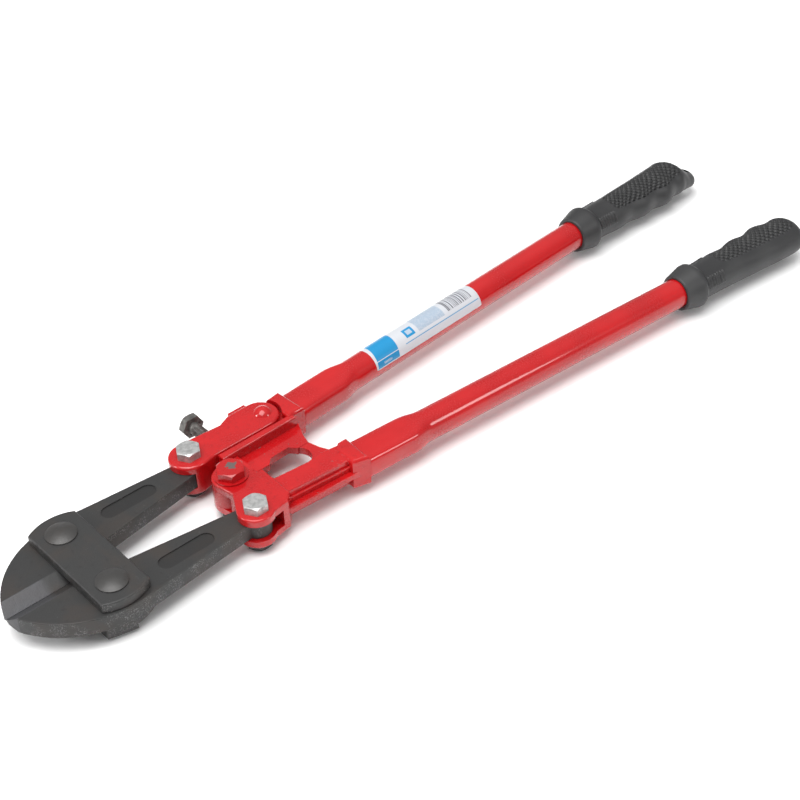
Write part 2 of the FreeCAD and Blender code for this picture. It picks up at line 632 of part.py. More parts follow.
def make_head_a():
    """Casting of handle A: fork for jaw A's tail, fork at the centre bolt, ridge, socket."""
    name = "handle_head_a"
    cheeks = slab(f"{name}_cheeks", "dim.ear_top", [
        ("-11.4", "2.5"),
        ("12", "3"),
        ("16", "10"),
        ("17.5", "18.5"),
        ("16.5", "35.5"),
        ("11", "41"),
        ("dim.tail_pivot_x + 7", "dim.tail_pivot_y + 9.2"),
        ("dim.tail_pivot_x - 10.5", "dim.tail_pivot_y - 4.8"),
        ("-9.6", "14"),
    ], ("0", "0", "dim.hub_radius"), ("dim.tail_pivot_x", "dim.tail_pivot_y", "dim.ear_radius"),
        side=SIDE_A, rounding="dim.cast_edge")
    ridge = slab(f"{name}_ridge", "dim.crest_half", [
        ("10", "17.5"),
        ("17.5", "18.3"),
        ("42", "20.8"),
        ("53", "19.5"),
        ("66", "21.5"),
        ("66", "37.6"),
        ("10", "33.4"),
    ], side=SIDE_A, rounding="dim.cast_edge")
    ledge = slab(f"{name}_ledge", "dim.ledge_half", [
        ("12", "30"),
        ("66", "30"),
        ("66", "39.2"),
        ("12", "35.2"),
    ], side=SIDE_A, rounding="dim.cast_edge / 2")
    flange = slab(f"{name}_flange", "dim.flange_half", [
        ("9", "30"),
        ("66", "30"),
        ("66", "43"),
        ("14", "40"),
        ("9", "38"),
    ], side=SIDE_A, rounding="dim.cast_edge / 2")
    socket = slab(f"{name}_socket", "dim.block_half", socket_corners("60", "24.5", "41.5"),
                  side=SIDE_A, rounding="2 * dim.cast_edge")
    web = slab(f"{name}_web", "dim.web_half", [
        ("10", "dim.mate_gap"),
        ("22.2", "dim.mate_gap"),
        ("22.2", "10"),
        ("25", "21"),
        ("42", "23"),
        ("46", "15.5", "9", -1),
        ("51.5", "dim.mate_gap"),
        ("59", "dim.mate_gap"),
        ("61", "8"),
        ("66", "19"),
        ("66", "24"),
        ("10", "24"),
    ], side=SIDE_A)
    seat = slab(f"{name}_seat", "dim.ear_top + dim.boss_rise", ("0", "0", "dim.boss_radius"))
    whole = fuse(f"{name}_blank", cheeks, ridge, ledge, flange, socket, web, seat, tang(name, SIDE_A))
    return cut(
        name, whole,
        slab(f"{name}_tail_slot", FORK, tail_slot(), side=SIDE_A),
        slab(f"{name}_hub_slot", FORK, [
            ("-20", "-20"),
            ("dim.hub_radius + dim.hub_clear", "-20"),
            ("dim.hub_radius + dim.hub_clear", "1"),
            ("11.4", "5.6"),
            ("0", "12"),
            ("-20", "12"),
        ], ("0", "0", "dim.hub_radius + dim.hub_clear"), side=SIDE_A),
        drill(f"{name}_centre_bore", "0", "0", "dim.centre_pin_dia", "dim.ear_top + 5"),
        drill(f"{name}_tail_bore", "dim.tail_pivot_x", "dim.tail_pivot_y", "dim.tail_pin_dia",
              "dim.ear_top + 5", side=SIDE_A))


def make_head_b():
    """Casting of handle B: tongue at the centre bolt, ridge, tongue for the link, socket."""
    name = "handle_head_b"
    tongue = slab(f"{name}_tongue", "dim.jaw_thick / 2", [
        ("6", "dim.mate_gap"),
        ("17", "dim.mate_gap"),
        ("17", "dim.crest_inner_y + 2"),
        ("4.5", "dim.crest_inner_y + 2"),
        ("-5", "10.8"),
    ], ("0", "0", "dim.hub_radius"))
    ridge = slab(f"{name}_ridge", "dim.crest_half", [
        ("6.5", "dim.crest_inner_y"),
        ("64", "dim.crest_inner_y + 1"),
        ("64", "dim.crest_outer_y"),
        ("6.5", "dim.crest_outer_y"),
    ], rounding="dim.cast_edge")
    web = slab(f"{name}_web", "dim.web_half", [
        ("14", "dim.mate_gap"),
        ("28.5", "dim.mate_gap"),
        ("32.5", "4.3"),
        ("47", "4.8"),
        ("50.5", "dim.mate_gap"),
        ("59", "dim.mate_gap"),
        ("61", "8"),
        ("66", "19"),
        ("14", "19"),
    ])
    link_tongue = slab(f"{name}_link_tongue", "dim.jaw_thick / 2", [
        ("dim.link_slot_x + 1.5", "dim.crest_outer_y - 2"),
        ("67", "dim.crest_outer_y - 2"),
        ("67", "40"),
        ("52.5", "49.5"),
        ("50.5", "55"),
        ("38", "55"),
        ("34", "49"),
        ("dim.link_slot_x + 1.5", "38"),
    ], rounding="dim.cast_edge / 2")
    socket = slab(f"{name}_socket", "dim.block_half", socket_corners("60", "19.5", "43.2"),
                  rounding="2 * dim.cast_edge")
    hollow = new("Part::Cylinder", f"{name}_link_room", Radius="dim.link_room", Height="40")
    place(hollow, "dim.rivet_x - 2.5", "dim.rivet_y", -20)
    socket = cut(f"{name}_socket_hollowed", socket, hollow)
    whole = fuse(f"{name}_blank", tongue, ridge, web, link_tongue, socket, tang(name, SIDE_B))
    return cut(
        name, whole,
        drill(f"{name}_centre_bore", "0", "0", "dim.centre_pin_dia", "dim.ear_top"),
        drill(f"{name}_rivet_bore", "dim.rivet_x", "dim.rivet_y", "dim.rivet_dia", "dim.ear_top"))


def make_link():
    """The forked link between jaw B's tail and casting B, tapped for the adjusting bolt."""
    name = "toggle_link"
    inner = "(dim.crest_outer_y + 0.3)"
    rear = f"((dim.link_rear_y - {inner}) / 2)"
    blank = slab(f"{name}_blank", "dim.ear_top", [
        ("dim.tail_pivot_x + dim.nose_radius * sin(12)", "dim.tail_pivot_y - dim.nose_radius * cos(12)"),
        (f"dim.tail_pivot_x + dim.nose_radius * sin(12) + ({inner} - dim.tail_pivot_y"
         " + dim.nose_radius * cos(12)) / tan(12)", inner),
        ("dim.rivet_x - 2.5", inner, rear, 1),
        (f"dim.rivet_x - 2.5 + {rear}", f"{inner} + {rear}", rear, 1),
        ("dim.rivet_x - 2.5", "dim.link_rear_y"),
        ("33", "dim.link_rear_y"),
        ("24", "dim.link_outer_y"),
        ("dim.tail_pivot_x + dim.nose_radius * sin(4.4)", "dim.tail_pivot_y + dim.nose_radius * cos(4.4)",
         "dim.nose_radius", 1),
        ("dim.tail_pivot_x - dim.nose_radius", "dim.tail_pivot_y", "dim.nose_radius", 1),
    ], rounding="1.4 * dim.cast_edge")
    tapped = new("Part::Cylinder", f"{name}_tapped_bore",
                 Radius="dim.tail_pin_dia / 2 + dim.fit_gap", Height="60")
    place(tapped, "dim.adjuster_x", "dim.crest_outer_y + 40", 0, ALONG_MINUS_Y)
    return cut(
        name, blank,
        slab(f"{name}_tail_slot", FORK, tail_slot()),
        slab(f"{name}_rear_slot", FORK, [
            ("dim.link_slot_x", "dim.crest_outer_y - 5"),
            ("dim.socket_x + 5", "dim.crest_outer_y - 5"),
            ("dim.socket_x + 5", "dim.link_rear_y + 10"),
            ("dim.link_slot_x", "dim.link_rear_y + 10"),
        ]),
        drill(f"{name}_tail_bore", "dim.tail_pivot_x", "dim.tail_pivot_y", "dim.tail_pin_dia",
              "dim.ear_top + 5"),
        drill(f"{name}_rivet_bore", "dim.rivet_x", "dim.rivet_y", "dim.rivet_dia", "dim.ear_top + 5"),
        tapped)


def make_rivet():
    """The rivet through link and casting, domed at both ends."""
    crown = "((dim.rivet_head_dia / 2) ^ 2 + dim.rivet_head_rise ^ 2) / (2 * dim.rivet_head_rise)"
    rivet = turned("link_rivet", [
        ("0", "-dim.ear_top - dim.rivet_head_rise", crown, 1),
        ("dim.rivet_head_dia / 2", "-dim.ear_top"),
        ("dim.rivet_dia / 2", "-dim.ear_top"),
        ("dim.rivet_dia / 2", "dim.ear_top"),
        ("dim.rivet_head_dia / 2", "dim.ear_top", crown, 1),
        ("0", "dim.ear_top + dim.rivet_head_rise"),
    ])
    return place(rivet, "dim.rivet_x", "dim.rivet_y")


# ---------------------------------------------------------------- handles

def ellipse_at(name, wide, high, along, inward="0", down="0"):
    """An ellipse across the handle at a distance along it."""
    ring = new("Part::Ellipse", name, MajorRadius=wide, MinorRadius=high)
    return place(ring, along, inward, f"-({down})", ALONG_X)


def tube_skin(name, inset):
    """Solid of the pressed and round stretches of a tube, inset from its outside."""
    wide = f"dim.press_half_wide - {inset}"
    high = f"dim.press_half_high - {inset}"
    radius = f"dim.tube_dia / 2 - {inset}"
    reach = "dim.press_length + dim.press_run"
    pressed = doc.addObject("Part::Loft", f"{name}_pressed")
    pressed.Sections = [
        ellipse_at(f"{name}_ring_one", wide, high, "0"),
        ellipse_at(f"{name}_ring_two", wide, high, "dim.press_length"),
        ellipse_at(f"{name}_ring_three", radius, radius, reach),
    ]
    pressed.Solid = True
    pressed.Ruled = True
    drawn = new("Part::Cylinder", f"{name}_drawn", Radius=radius,
                Height=f"dim.tube_length - ({reach})")
    place(drawn, reach, 0, 0, ALONG_X)
    return fuse(name, pressed, drawn)


def make_tube(name, side):
    """A handle tube, pressed flat over the casting's tang at its near end."""
    outside = tube_skin(f"{name}_outside", "0")
    inside = tube_skin(f"{name}_inside", "dim.tube_wall")
    return splayed(cut(name, outside, inside), side)


def make_grip(name, side):
    """A moulded grip: collar, finger grooves towards the other handle, closed end."""
    ending = CAP_STATIONS if side == SIDE_A else TAIL_STATIONS
    rings = [ellipse_at(f"{name}_{station}", f"dim.{station}_wide", f"dim.{station}_high",
                        f"dim.{station}_at", f"{-side} * dim.{station}_inward", f"dim.{station}_down")
             for station, *_ in GRIP_STATIONS + ending]
    moulding = doc.addObject("Part::Loft", f"{name}_moulding")
    moulding.Sections = rings
    moulding.Solid = True
    flare = new("Part::Cone", f"{name}_flare", Height="dim.collar_flare",
                Radius1="dim.mouth_radius", Radius2="dim.collar_radius")
    place(flare, 0, 0, 0, ALONG_X)
    rim = new("Part::Cylinder", f"{name}_rim", Height="dim.collar_rim", Radius="dim.collar_radius")
    place(rim, "dim.collar_flare", 0, 0, ALONG_X)
    back = new("Part::Cone", f"{name}_back", Height="dim.collar_back",
               Radius1="dim.collar_radius", Radius2="dim.neck_wide - 0.1")
    place(back, "dim.collar_flare + dim.collar_rim", 0, 0, ALONG_X)
    outside = fuse(f"{name}_outside", moulding, flare, rim, back)
    bore = new("Part::Cylinder", f"{name}_bore", Radius="dim.tube_dia / 2 + dim.fit_gap",
               Height="dim.grip_bore + 5")
    place(bore, -5, 0, 0, ALONG_X)
    if side == SIDE_A:
        return splayed(cut(name, outside, bore), side, "dim.tube_length - dim.cover_a")
    hole = new("Part::Cylinder", f"{name}_hang_hole", Radius="dim.hang_dia / 2", Height="60")
    place(hole, "dim.tail_four_at - dim.hang_from_end", "-dim.hang_inward", -30)
    return splayed(cut(name, outside, bore, hole), side, "dim.tube_length - dim.cover_b")


def make_label():
    """A thin printed label wrapped on tube B."""
    outer = new("Part::Cylinder", "tube_label_outer", Radius="dim.tube_dia / 2 + dim.label_thick",
                Height="dim.label_length", Angle="dim.label_wrap")
    inner = new("Part::Cylinder", "tube_label_inner", Radius="dim.tube_dia / 2",
                Height="dim.label_length + 2")
    place(inner, 0, 0, -1)
    sleeve = cut("tube_label_sleeve", outer, inner)
    place(sleeve, 0, 0, 0, ALONG_X.multiply(FreeCAD.Rotation(UP, size_of("dim.label_start"))))
    turned_label = doc.addObject("Part::Compound", "tube_label")
    turned_label.Links = [sleeve]
    return splayed(turned_label, SIDE_B, "dim.label_at")


# ---------------------------------------------------------------- assembly

def fit_nut(nut, x, y, seat):
    """Put a nut under a seat that lies below the mid-plane."""
    return place(nut, x, y, f"-({seat}) - ({nut_height(seat)})")


def nut_height(seat):
    """Height that leaves the bolt proud by the same length at every nut."""
    return f"dim.bolt_end_z - dim.bolt_proud - ({seat})"


def build():
    """Every sub-part under its node's name."""
    parts = {}
    for word, side in (("a", SIDE_A), ("b", SIDE_B)):
        parts[f"jaw_{word}"] = make_jaw(f"jaw_{word}", side)
    parts["strap_plate_top"] = make_strap("strap_plate_top", 1)
    parts["strap_plate_bottom"] = make_lower_strap("strap_plate_bottom")
    parts["jaw_pivot_bolts"] = group(
        "jaw_pivot_bolts", make_jaw_bolt("jaw_pivot_bolt_a", SIDE_A),
        make_jaw_bolt("jaw_pivot_bolt_b", SIDE_B))
    nuts = []
    for word, side in (("a", SIDE_A), ("b", SIDE_B)):
        nut = make_nut(f"jaw_pivot_nut_{word}", "dim.jaw_nut_flats", "dim.jaw_pin_dia",
                       nut_height(STRAP_TOP))
        nuts.append(fit_nut(nut, "dim.jaw_pivot_x", f"{side} * dim.jaw_pivot_y", STRAP_TOP))
    parts["jaw_pivot_nuts"] = group("jaw_pivot_nuts", *nuts)
    parts["handle_head_a"] = make_head_a()
    parts["handle_head_b"] = make_head_b()
    parts["toggle_link"] = make_link()
    parts["link_rivet"] = make_rivet()
    for word, side in (("a", SIDE_A), ("b", SIDE_B)):
        spot = ("dim.tail_pivot_x", f"{side} * dim.tail_pivot_y")
        bolt = make_hex_bolt(f"tail_bolt_{word}", "dim.hex_flats", "dim.tail_pin_dia",
                             "dim.ear_top + dim.bolt_end_z")
        parts[f"tail_bolt_{word}"] = place(bolt, *spot, "dim.ear_top")
        nut = make_nut(f"tail_nut_{word}", "dim.hex_flats", "dim.tail_pin_dia", nut_height("dim.ear_top"))
        parts[f"tail_nut_{word}"] = fit_nut(nut, *spot, "dim.ear_top")
    seat = "dim.ear_top + dim.boss_rise"
    centre = make_hex_bolt("centre_bolt", "dim.centre_flats", "dim.centre_pin_dia",
                           f"{seat} + dim.bolt_end_z")
    parts["centre_bolt"] = place(centre, 0, 0, seat)
    nut = make_nut("centre_nut", "dim.centre_flats", "dim.centre_pin_dia", nut_height(seat))
    parts["centre_nut"] = fit_nut(nut, 0, 0, seat)
    adjuster = make_hex_bolt("adjusting_bolt", "dim.hex_flats", "dim.tail_pin_dia",
                             "dim.adjuster_head_y - dim.crest_outer_y - 0.1")
    outwards = FreeCAD.Rotation(FreeCAD.Vector(1, 0, 0), -90)
    parts["adjusting_bolt"] = place(adjuster, "dim.adjuster_x", "dim.adjuster_head_y", 0, outwards)
    for word, side in (("a", SIDE_A), ("b", SIDE_B)):
        parts[f"handle_tube_{word}"] = make_tube(f"handle_tube_{word}", side)
        parts[f"grip_{word}"] = make_grip(f"grip_{word}", side)
    parts["tube_label"] = make_label()
    return parts


def check(parts):
    """Stop at any object that failed and any sub-part that isn't sound."""
    for item in doc.Objects:
        if "Invalid" in item.State or "Error" in item.State:
            raise RuntimeError(f"{item.Label} failed: {item.State}")
    for node, item in parts.items():
        if item.Shape.isNull() or not item.Shape.isValid():
            raise RuntimeError(f"{node} isn't a sound shape")


def settle(item):
    """Move a finished sub-part so that the origin is the middle of the tool's underside."""
    held = {path.strip("."): expression for path, expression in item.ExpressionEngine}
    for axis, shift in (("x", MIDDLE_X), ("z", "dim.bolt_end_z")):
        path = f"Placement.Base.{axis}"
        item.setExpression(path, f"({held.get(path, '0')}) + {shift}")


def export(parts):
    """Write each sub-part."""
    os.makedirs("parts", exist_ok=True)
    for node, item in parts.items():
        item.Shape.exportStep(f"parts/{node}.step")
        print(f"{node:20s} {item.Shape.Volume:10.1f} mm3, {len(item.Shape.Solids)} solid(s)")


PARTS = build()
for node, item in PARTS.items():
    item.Label = node
    settle(item)
doc.recompute()
check(PARTS)
export(PARTS)
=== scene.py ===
"""Bolt cutters: finishes, moulded grips, pressed tubes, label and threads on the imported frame.

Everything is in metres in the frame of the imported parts: -X towards the jaw tips,
+X towards the grips, +Y towards handle B and +Z up.
"""

import logging
import math
from dataclasses import dataclass
from enum import Enum

import bpy
import numpy as np
from mathutils import Matrix, Vector


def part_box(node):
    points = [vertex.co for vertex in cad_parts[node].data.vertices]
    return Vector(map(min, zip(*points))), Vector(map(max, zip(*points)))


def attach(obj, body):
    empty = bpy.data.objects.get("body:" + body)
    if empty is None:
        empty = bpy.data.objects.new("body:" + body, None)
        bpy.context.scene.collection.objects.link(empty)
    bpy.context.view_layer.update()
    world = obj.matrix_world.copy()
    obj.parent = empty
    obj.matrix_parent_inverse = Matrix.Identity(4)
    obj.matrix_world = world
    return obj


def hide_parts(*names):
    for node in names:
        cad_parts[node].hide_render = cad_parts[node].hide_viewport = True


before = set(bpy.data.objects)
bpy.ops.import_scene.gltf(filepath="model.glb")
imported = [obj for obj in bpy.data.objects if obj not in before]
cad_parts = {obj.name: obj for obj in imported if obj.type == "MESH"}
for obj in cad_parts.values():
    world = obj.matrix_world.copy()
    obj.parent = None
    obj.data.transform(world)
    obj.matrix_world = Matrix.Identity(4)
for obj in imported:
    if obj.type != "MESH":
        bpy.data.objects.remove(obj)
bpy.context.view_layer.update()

LOG = logging.getLogger("bolt_cutters")
MM = 0.001


class Side(Enum):
    """The two handles: A lies towards -Y and B towards +Y."""

    A = -1
    B = 1

    @property
    def letter(self) -> str:
        """The letter that the names of this side's parts end in."""
        return self.name.lower()


class Slot(Enum):
    """The record's material slots."""

    JAW_STEEL = "jaw_steel"
    DARK_FASTENER = "dark_fastener"
    ZINC_FASTENER = "zinc_fastener"
    PAINTED_FASTENER = "painted_fastener"
    RED_CASTING = "red_casting"
    RED_TUBE = "red_tube"
    GRIP_VINYL = "grip_vinyl"
    LABEL_FILM = "label_film"


# ---------------------------------------------------------------- shader maths


class Wire:
    """A number that varies over a surface; sums and products of wires add Math nodes."""

    def __init__(self, sheet: "ShaderSheet", socket: bpy.types.NodeSocket) -> None:
        """Wrap a socket.

        Args:
            sheet: the sheet that the socket's node is on.
            socket: an output socket that gives a number.
        """
        self.sheet = sheet
        self.socket = socket

    def maths(self, operation: str, *others: "Wire | float", flip: bool = False) -> "Wire":
        """Add a Math node.

        Args:
            operation: the node's operation.
            others: its other inputs.
            flip: True if this wire is the second input and not the first.

        Returns:
            The node's output.
        """
        values = [*others, self] if flip else [self, *others]
        node = self.sheet.node("ShaderNodeMath", {"operation": operation}, dict(enumerate(values)))
        return Wire(self.sheet, node.outputs[0])

    def __add__(self, other: "Wire | float") -> "Wire":
        """This plus other."""
        return self.maths("ADD", other)

    def __sub__(self, other: "Wire | float") -> "Wire":
        """This less other."""
        return self.maths("SUBTRACT", other)

    def __rsub__(self, other: float) -> "Wire":
        """Other less this."""
        return self.maths("SUBTRACT", other, flip=True)

    def __mul__(self, other: "Wire | float") -> "Wire":
        """This times other."""
        return self.maths("MULTIPLY", other)

    def __truediv__(self, other: "Wire | float") -> "Wire":
        """This over other."""
        return self.maths("DIVIDE", other)

    def __neg__(self) -> "Wire":
        """This with its sign turned."""
        return self.maths("MULTIPLY", -1.0)

    __radd__ = __add__
    __rmul__ = __mul__

    def size(self) -> "Wire":
        """This without its sign."""
        return self.maths("ABSOLUTE")

    def part(self) -> "Wire":
        """What is left of this above the whole number below it."""
        return self.maths("FRACT")

    def least(self, other: "Wire | float") -> "Wire":
        """The smaller of this and other."""
        return self.maths("MINIMUM", other)

    def most(self, other: "Wire | float") -> "Wire":
        """The larger of this and other."""
        return self.maths("MAXIMUM", other)

    def rise(self, low: float, high: float) -> "Wire":
        """Ease from 0 where this is low to 1 where it is high.

        Args:
            low: the value that gives 0.
            high: the value that gives 1; below low, the ramp falls.

        Returns:
            A number from 0 to 1.
        """
        backwards = high < low
        ends = (high, low) if backwards else (low, high)
        node = self.sheet.node(
            "ShaderNodeMapRange",
            {"interpolation_type": "SMOOTHSTEP"},
            {"Value": self, "From Min": ends[0], "From Max": ends[1]},
        )
        made = Wire(self.sheet, node.outputs["Result"])
        return 1.0 - made if backwards else made

    def within(self, low: float, high: float, soft: float) -> "Wire":
        """1 where this lies between low and high, easing to 0 outside over soft."""
        return self.rise(low - soft, low) * self.rise(high + soft, high)


class ShaderSheet:
    """The nodes of a material or a world, and the few ways in which they are added."""

    def __init__(self, name: str, world: bool = False) -> None:
        """Start an empty material, or an empty world.

        Args:
            name: its name.
            world: True for a world.
        """
        self.material = (bpy.data.worlds if world else bpy.data.materials).new(name)
        self.material.use_nodes = True
        self.tree = self.material.node_tree
        self.tree.nodes.clear()

    def node(self, kind: str, settings: dict | None = None, inputs: dict | None = None) -> bpy.types.Node:
        """Add a node.

        Args:
            kind: the node's type.
            settings: its own settings, set first; "stops" gives a ramp's (place, colour) rows.
            inputs: values or links for its sockets, by name or number.

        Returns:
            The node.
        """
        made = self.tree.nodes.new(kind)
        for key, value in (settings or {}).items():
            if key == "stops":
                self.fill_ramp(made, value)
            else:
                setattr(made, key, value)
        for key, value in (inputs or {}).items():
            if isinstance(value, Wire):
                self.tree.links.new(value.socket, made.inputs[key])
            elif isinstance(value, bpy.types.NodeSocket):
                self.tree.links.new(value, made.inputs[key])
            else:
                made.inputs[key].default_value = value
        return made

    @staticmethod
    def fill_ramp(ramp: bpy.types.Node, stops: list[tuple[float, tuple]]) -> None:
        """Give a colour ramp its stops.

        Args:
            ramp: the ramp's node.
            stops: a place from 0 to 1 and a colour of three numbers for each stop.
        """
        elements = ramp.color_ramp.elements
        while len(elements) < len(stops):
            elements.new(1.0)
        for element, (place, colour) in zip(elements, stops):
            element.position = place
            element.color = (*colour, 1.0)

    def place(self) -> bpy.types.NodeSocket:
        """Where a point of the piece is, in metres."""
        return self.node("ShaderNodeTexCoord").outputs["Object"]

    def flank(self) -> Wire:
        """1 on an upright face and 0 on a level one."""
        normal = self.node("ShaderNodeTexCoord").outputs["Normal"]
        return 1.0 - self.axes(normal)[2].size()

    def axes(self, vector: bpy.types.NodeSocket) -> tuple[Wire, Wire, Wire]:
        """The three numbers of a vector."""
        parts = self.node("ShaderNodeSeparateXYZ", None, {"Vector": vector})
        return tuple(Wire(self, out) for out in parts.outputs)

    def noise(self, grain: float, detail: float = 2.0, vector: bpy.types.NodeSocket | None = None,
              distortion: float = 0.0) -> Wire:
        """Soft noise from 0 to 1.

        Args:
            grain: the size of its patches in millimetres.
            detail: how many finer layers it has.
            vector: where it is read; the point's own place if None.
            distortion: how far it is stirred.

        Returns:
            The noise.
        """
        made = self.node("ShaderNodeTexNoise", None, {
            "Vector": vector or self.place(), "Scale": 1000.0 / grain, "Detail": detail,
            "Distortion": distortion})
        return Wire(self, made.outputs["Fac"])

    def cells(self, grain: float) -> bpy.types.NodeSocket:
        """A pattern of cells, each of its own colour and grain millimetres across."""
        made = self.node("ShaderNodeTexVoronoi", {"feature": "F1"},
                         {"Vector": self.place(), "Scale": 1000.0 / grain})
        return made.outputs["Color"]

    def mix(self, share: Wire, first: "tuple | bpy.types.NodeSocket",
            second: "tuple | bpy.types.NodeSocket") -> bpy.types.NodeSocket:
        """Mix two colours.

        Args:
            share: how much of the second shows.
            first: the colour where share is 0.
            second: the colour where share is 1.

        Returns:
            The mixed colour.
        """
        colours = [(*c, 1.0) if isinstance(c, tuple) and len(c) == 3 else c for c in (first, second)]
        made = self.node("ShaderNodeMix", {"data_type": "RGBA"}, {0: share, 6: colours[0], 7: colours[1]})
        return made.outputs[2]

    def bump(self, height: Wire, depth: float,
             under: bpy.types.NodeSocket | None = None) -> bpy.types.NodeSocket:
        """Turn a height into a normal.

        Args:
            height: the height, from 0 to 1.
            depth: how many millimetres 1 stands above 0.
            under: a normal that this one is laid on.

        Returns:
            The normal.
        """
        inputs = {"Height": height, "Distance": depth * MM, "Strength": 1.0}
        if under is not None:
            inputs["Normal"] = under
        return self.node("ShaderNodeBump", None, inputs).outputs["Normal"]

    def finish(self, **sockets: object) -> bpy.types.Material:
        """Add the shader and the output.

        Args:
            sockets: the shader's sockets, with underscores for spaces.

        Returns:
            The material.
        """
        inputs = {key.replace("_", " "): (*v, 1.0) if isinstance(v, tuple) and len(v) == 3 else v
                  for key, v in sockets.items()}
        shader = self.node("ShaderNodeBsdfPrincipled", None, inputs)
        self.node("ShaderNodeOutputMaterial", None, {"Surface": shader.outputs[0]})
        return self.material


def tint(red: int, green: int, blue: int) -> tuple[float, float, float]:
    """Turn a screen colour of 0 to 255 into the shader's own numbers.

    Args:
        red: red on the screen.
        green: green on the screen.
        blue: blue on the screen.

    Returns:
        The colour in linear light.
    """
    shares = [value / 255 for value in (red, green, blue)]
    return tuple(s / 12.92 if s <= 0.04045 else ((s + 0.055) / 1.055) ** 2.4 for s in shares)


# ---------------------------------------------------------------- finishes


@dataclass(frozen=True)
class BlackForging:
    """Forged steel with a black phosphate coat, rubbed pale where it has been handled."""

    name: str
    colour: tuple = tint(54, 54, 54)
    brown: tuple = tint(61, 56, 53)
    rubbed: tuple = tint(120, 119, 118)
    scale_depth: float = 0.07
    roughness: float = 0.44

    def surface(self, sheet: ShaderSheet) -> tuple[bpy.types.NodeSocket, Wire, bpy.types.NodeSocket]:
        """The coat's colour, roughness and normal.

        Args:
            sheet: the material's nodes.

        Returns:
            Colour, roughness and normal.
        """
        clouds = sheet.noise(22, 3, distortion=0.4)
        grit = sheet.noise(0.8, 3)
        pits = sheet.noise(3.2, 4)
        colour = sheet.mix(clouds.rise(0.40, 0.72), self.colour, self.brown)
        patches = sheet.noise(8, 3)
        worn = grit.rise(0.62, 0.74) * patches.rise(0.52, 0.66) * 0.3
        scuffed = grit.rise(0.50, 0.66) * patches.rise(0.40, 0.60) * sheet.flank().rise(0.2, 0.6)
        colour = sheet.mix((worn + scuffed * 0.6).least(0.8), colour, self.rubbed)
        # Painted shade: the low spots of the pit bump are darkened.
        colour = sheet.mix(pits.rise(0.40, 0.26) * 0.5, colour, tint(44, 43, 43))
        rough = self.roughness + (grit - 0.5) * 0.22 + clouds * 0.10 - worn * 0.08
        normal = sheet.bump(pits, self.scale_depth)
        normal = sheet.bump(grit, 0.035, normal)
        return colour, rough, normal

    def make(self) -> bpy.types.Material:
        """The material."""
        sheet = ShaderSheet(self.name)
        colour, rough, normal = self.surface(sheet)
        return sheet.finish(Base_Color=colour, Roughness=rough, Normal=normal, Metallic=0.35)


@dataclass(frozen=True)
class GroundForging(BlackForging):
    """The same coat on a jaw: paler where the edge was ground, and darkened with painted shade in the sunk
    oblong.
    """

    side: Side = Side.B
    edge_y: float = 8.9
    band_length: float = 28.4
    sunk_from: float = 70.0
    sunk_depth: float = 0.7
    ground: tuple = tint(72, 72, 75)
    # Painted shade for the floor of the sunk oblong.
    painted_sunk_shade: tuple = tint(34, 33, 33)

    def make(self) -> bpy.types.Material:
        """The material: fine lines run across the ground band and its rear end fades."""
        sheet = ShaderSheet(self.name)
        colour, rough, normal = self.surface(sheet)
        low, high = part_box(f"jaw_{self.side.letter}")
        place = sheet.place()
        x, y, z = sheet.axes(place)
        behind_tip = (x - low[0]) / MM
        below_top = (high[2] - z) / MM
        # Painted shade: the level floor of the sunk oblong is darkened.
        floor = below_top.within(self.sunk_depth * 0.7, self.sunk_depth * 1.3, 0.1)
        floor = floor * behind_tip.rise(self.sunk_from - 2, self.sunk_from) * sheet.flank().rise(0.4, 0.2)
        colour = sheet.mix(floor * 0.55, colour, self.painted_sunk_shade)
        depth = y * self.side.value / MM
        rear = behind_tip.rise(self.band_length + 4, self.band_length - 3)
        band = depth.within(-1.0, self.edge_y, 0.25) * rear
        stretch = sheet.node("ShaderNodeVectorMath", {"operation": "MULTIPLY"},
                             {0: place, 1: (1.0, 0.12, 0.12)})
        lines = sheet.noise(0.5, 2, stretch.outputs[0])
        share = band * (0.70 + (lines - 0.5) * 0.35)
        colour = sheet.mix(share.most(0.0), colour, self.ground)
        shine = rough - band * 0.12 + (lines - 0.5) * 0.1 * band
        normal = sheet.bump(lines * band, 0.02, normal)
        return sheet.finish(Base_Color=colour, Roughness=shine, Normal=normal, Metallic=0.4)


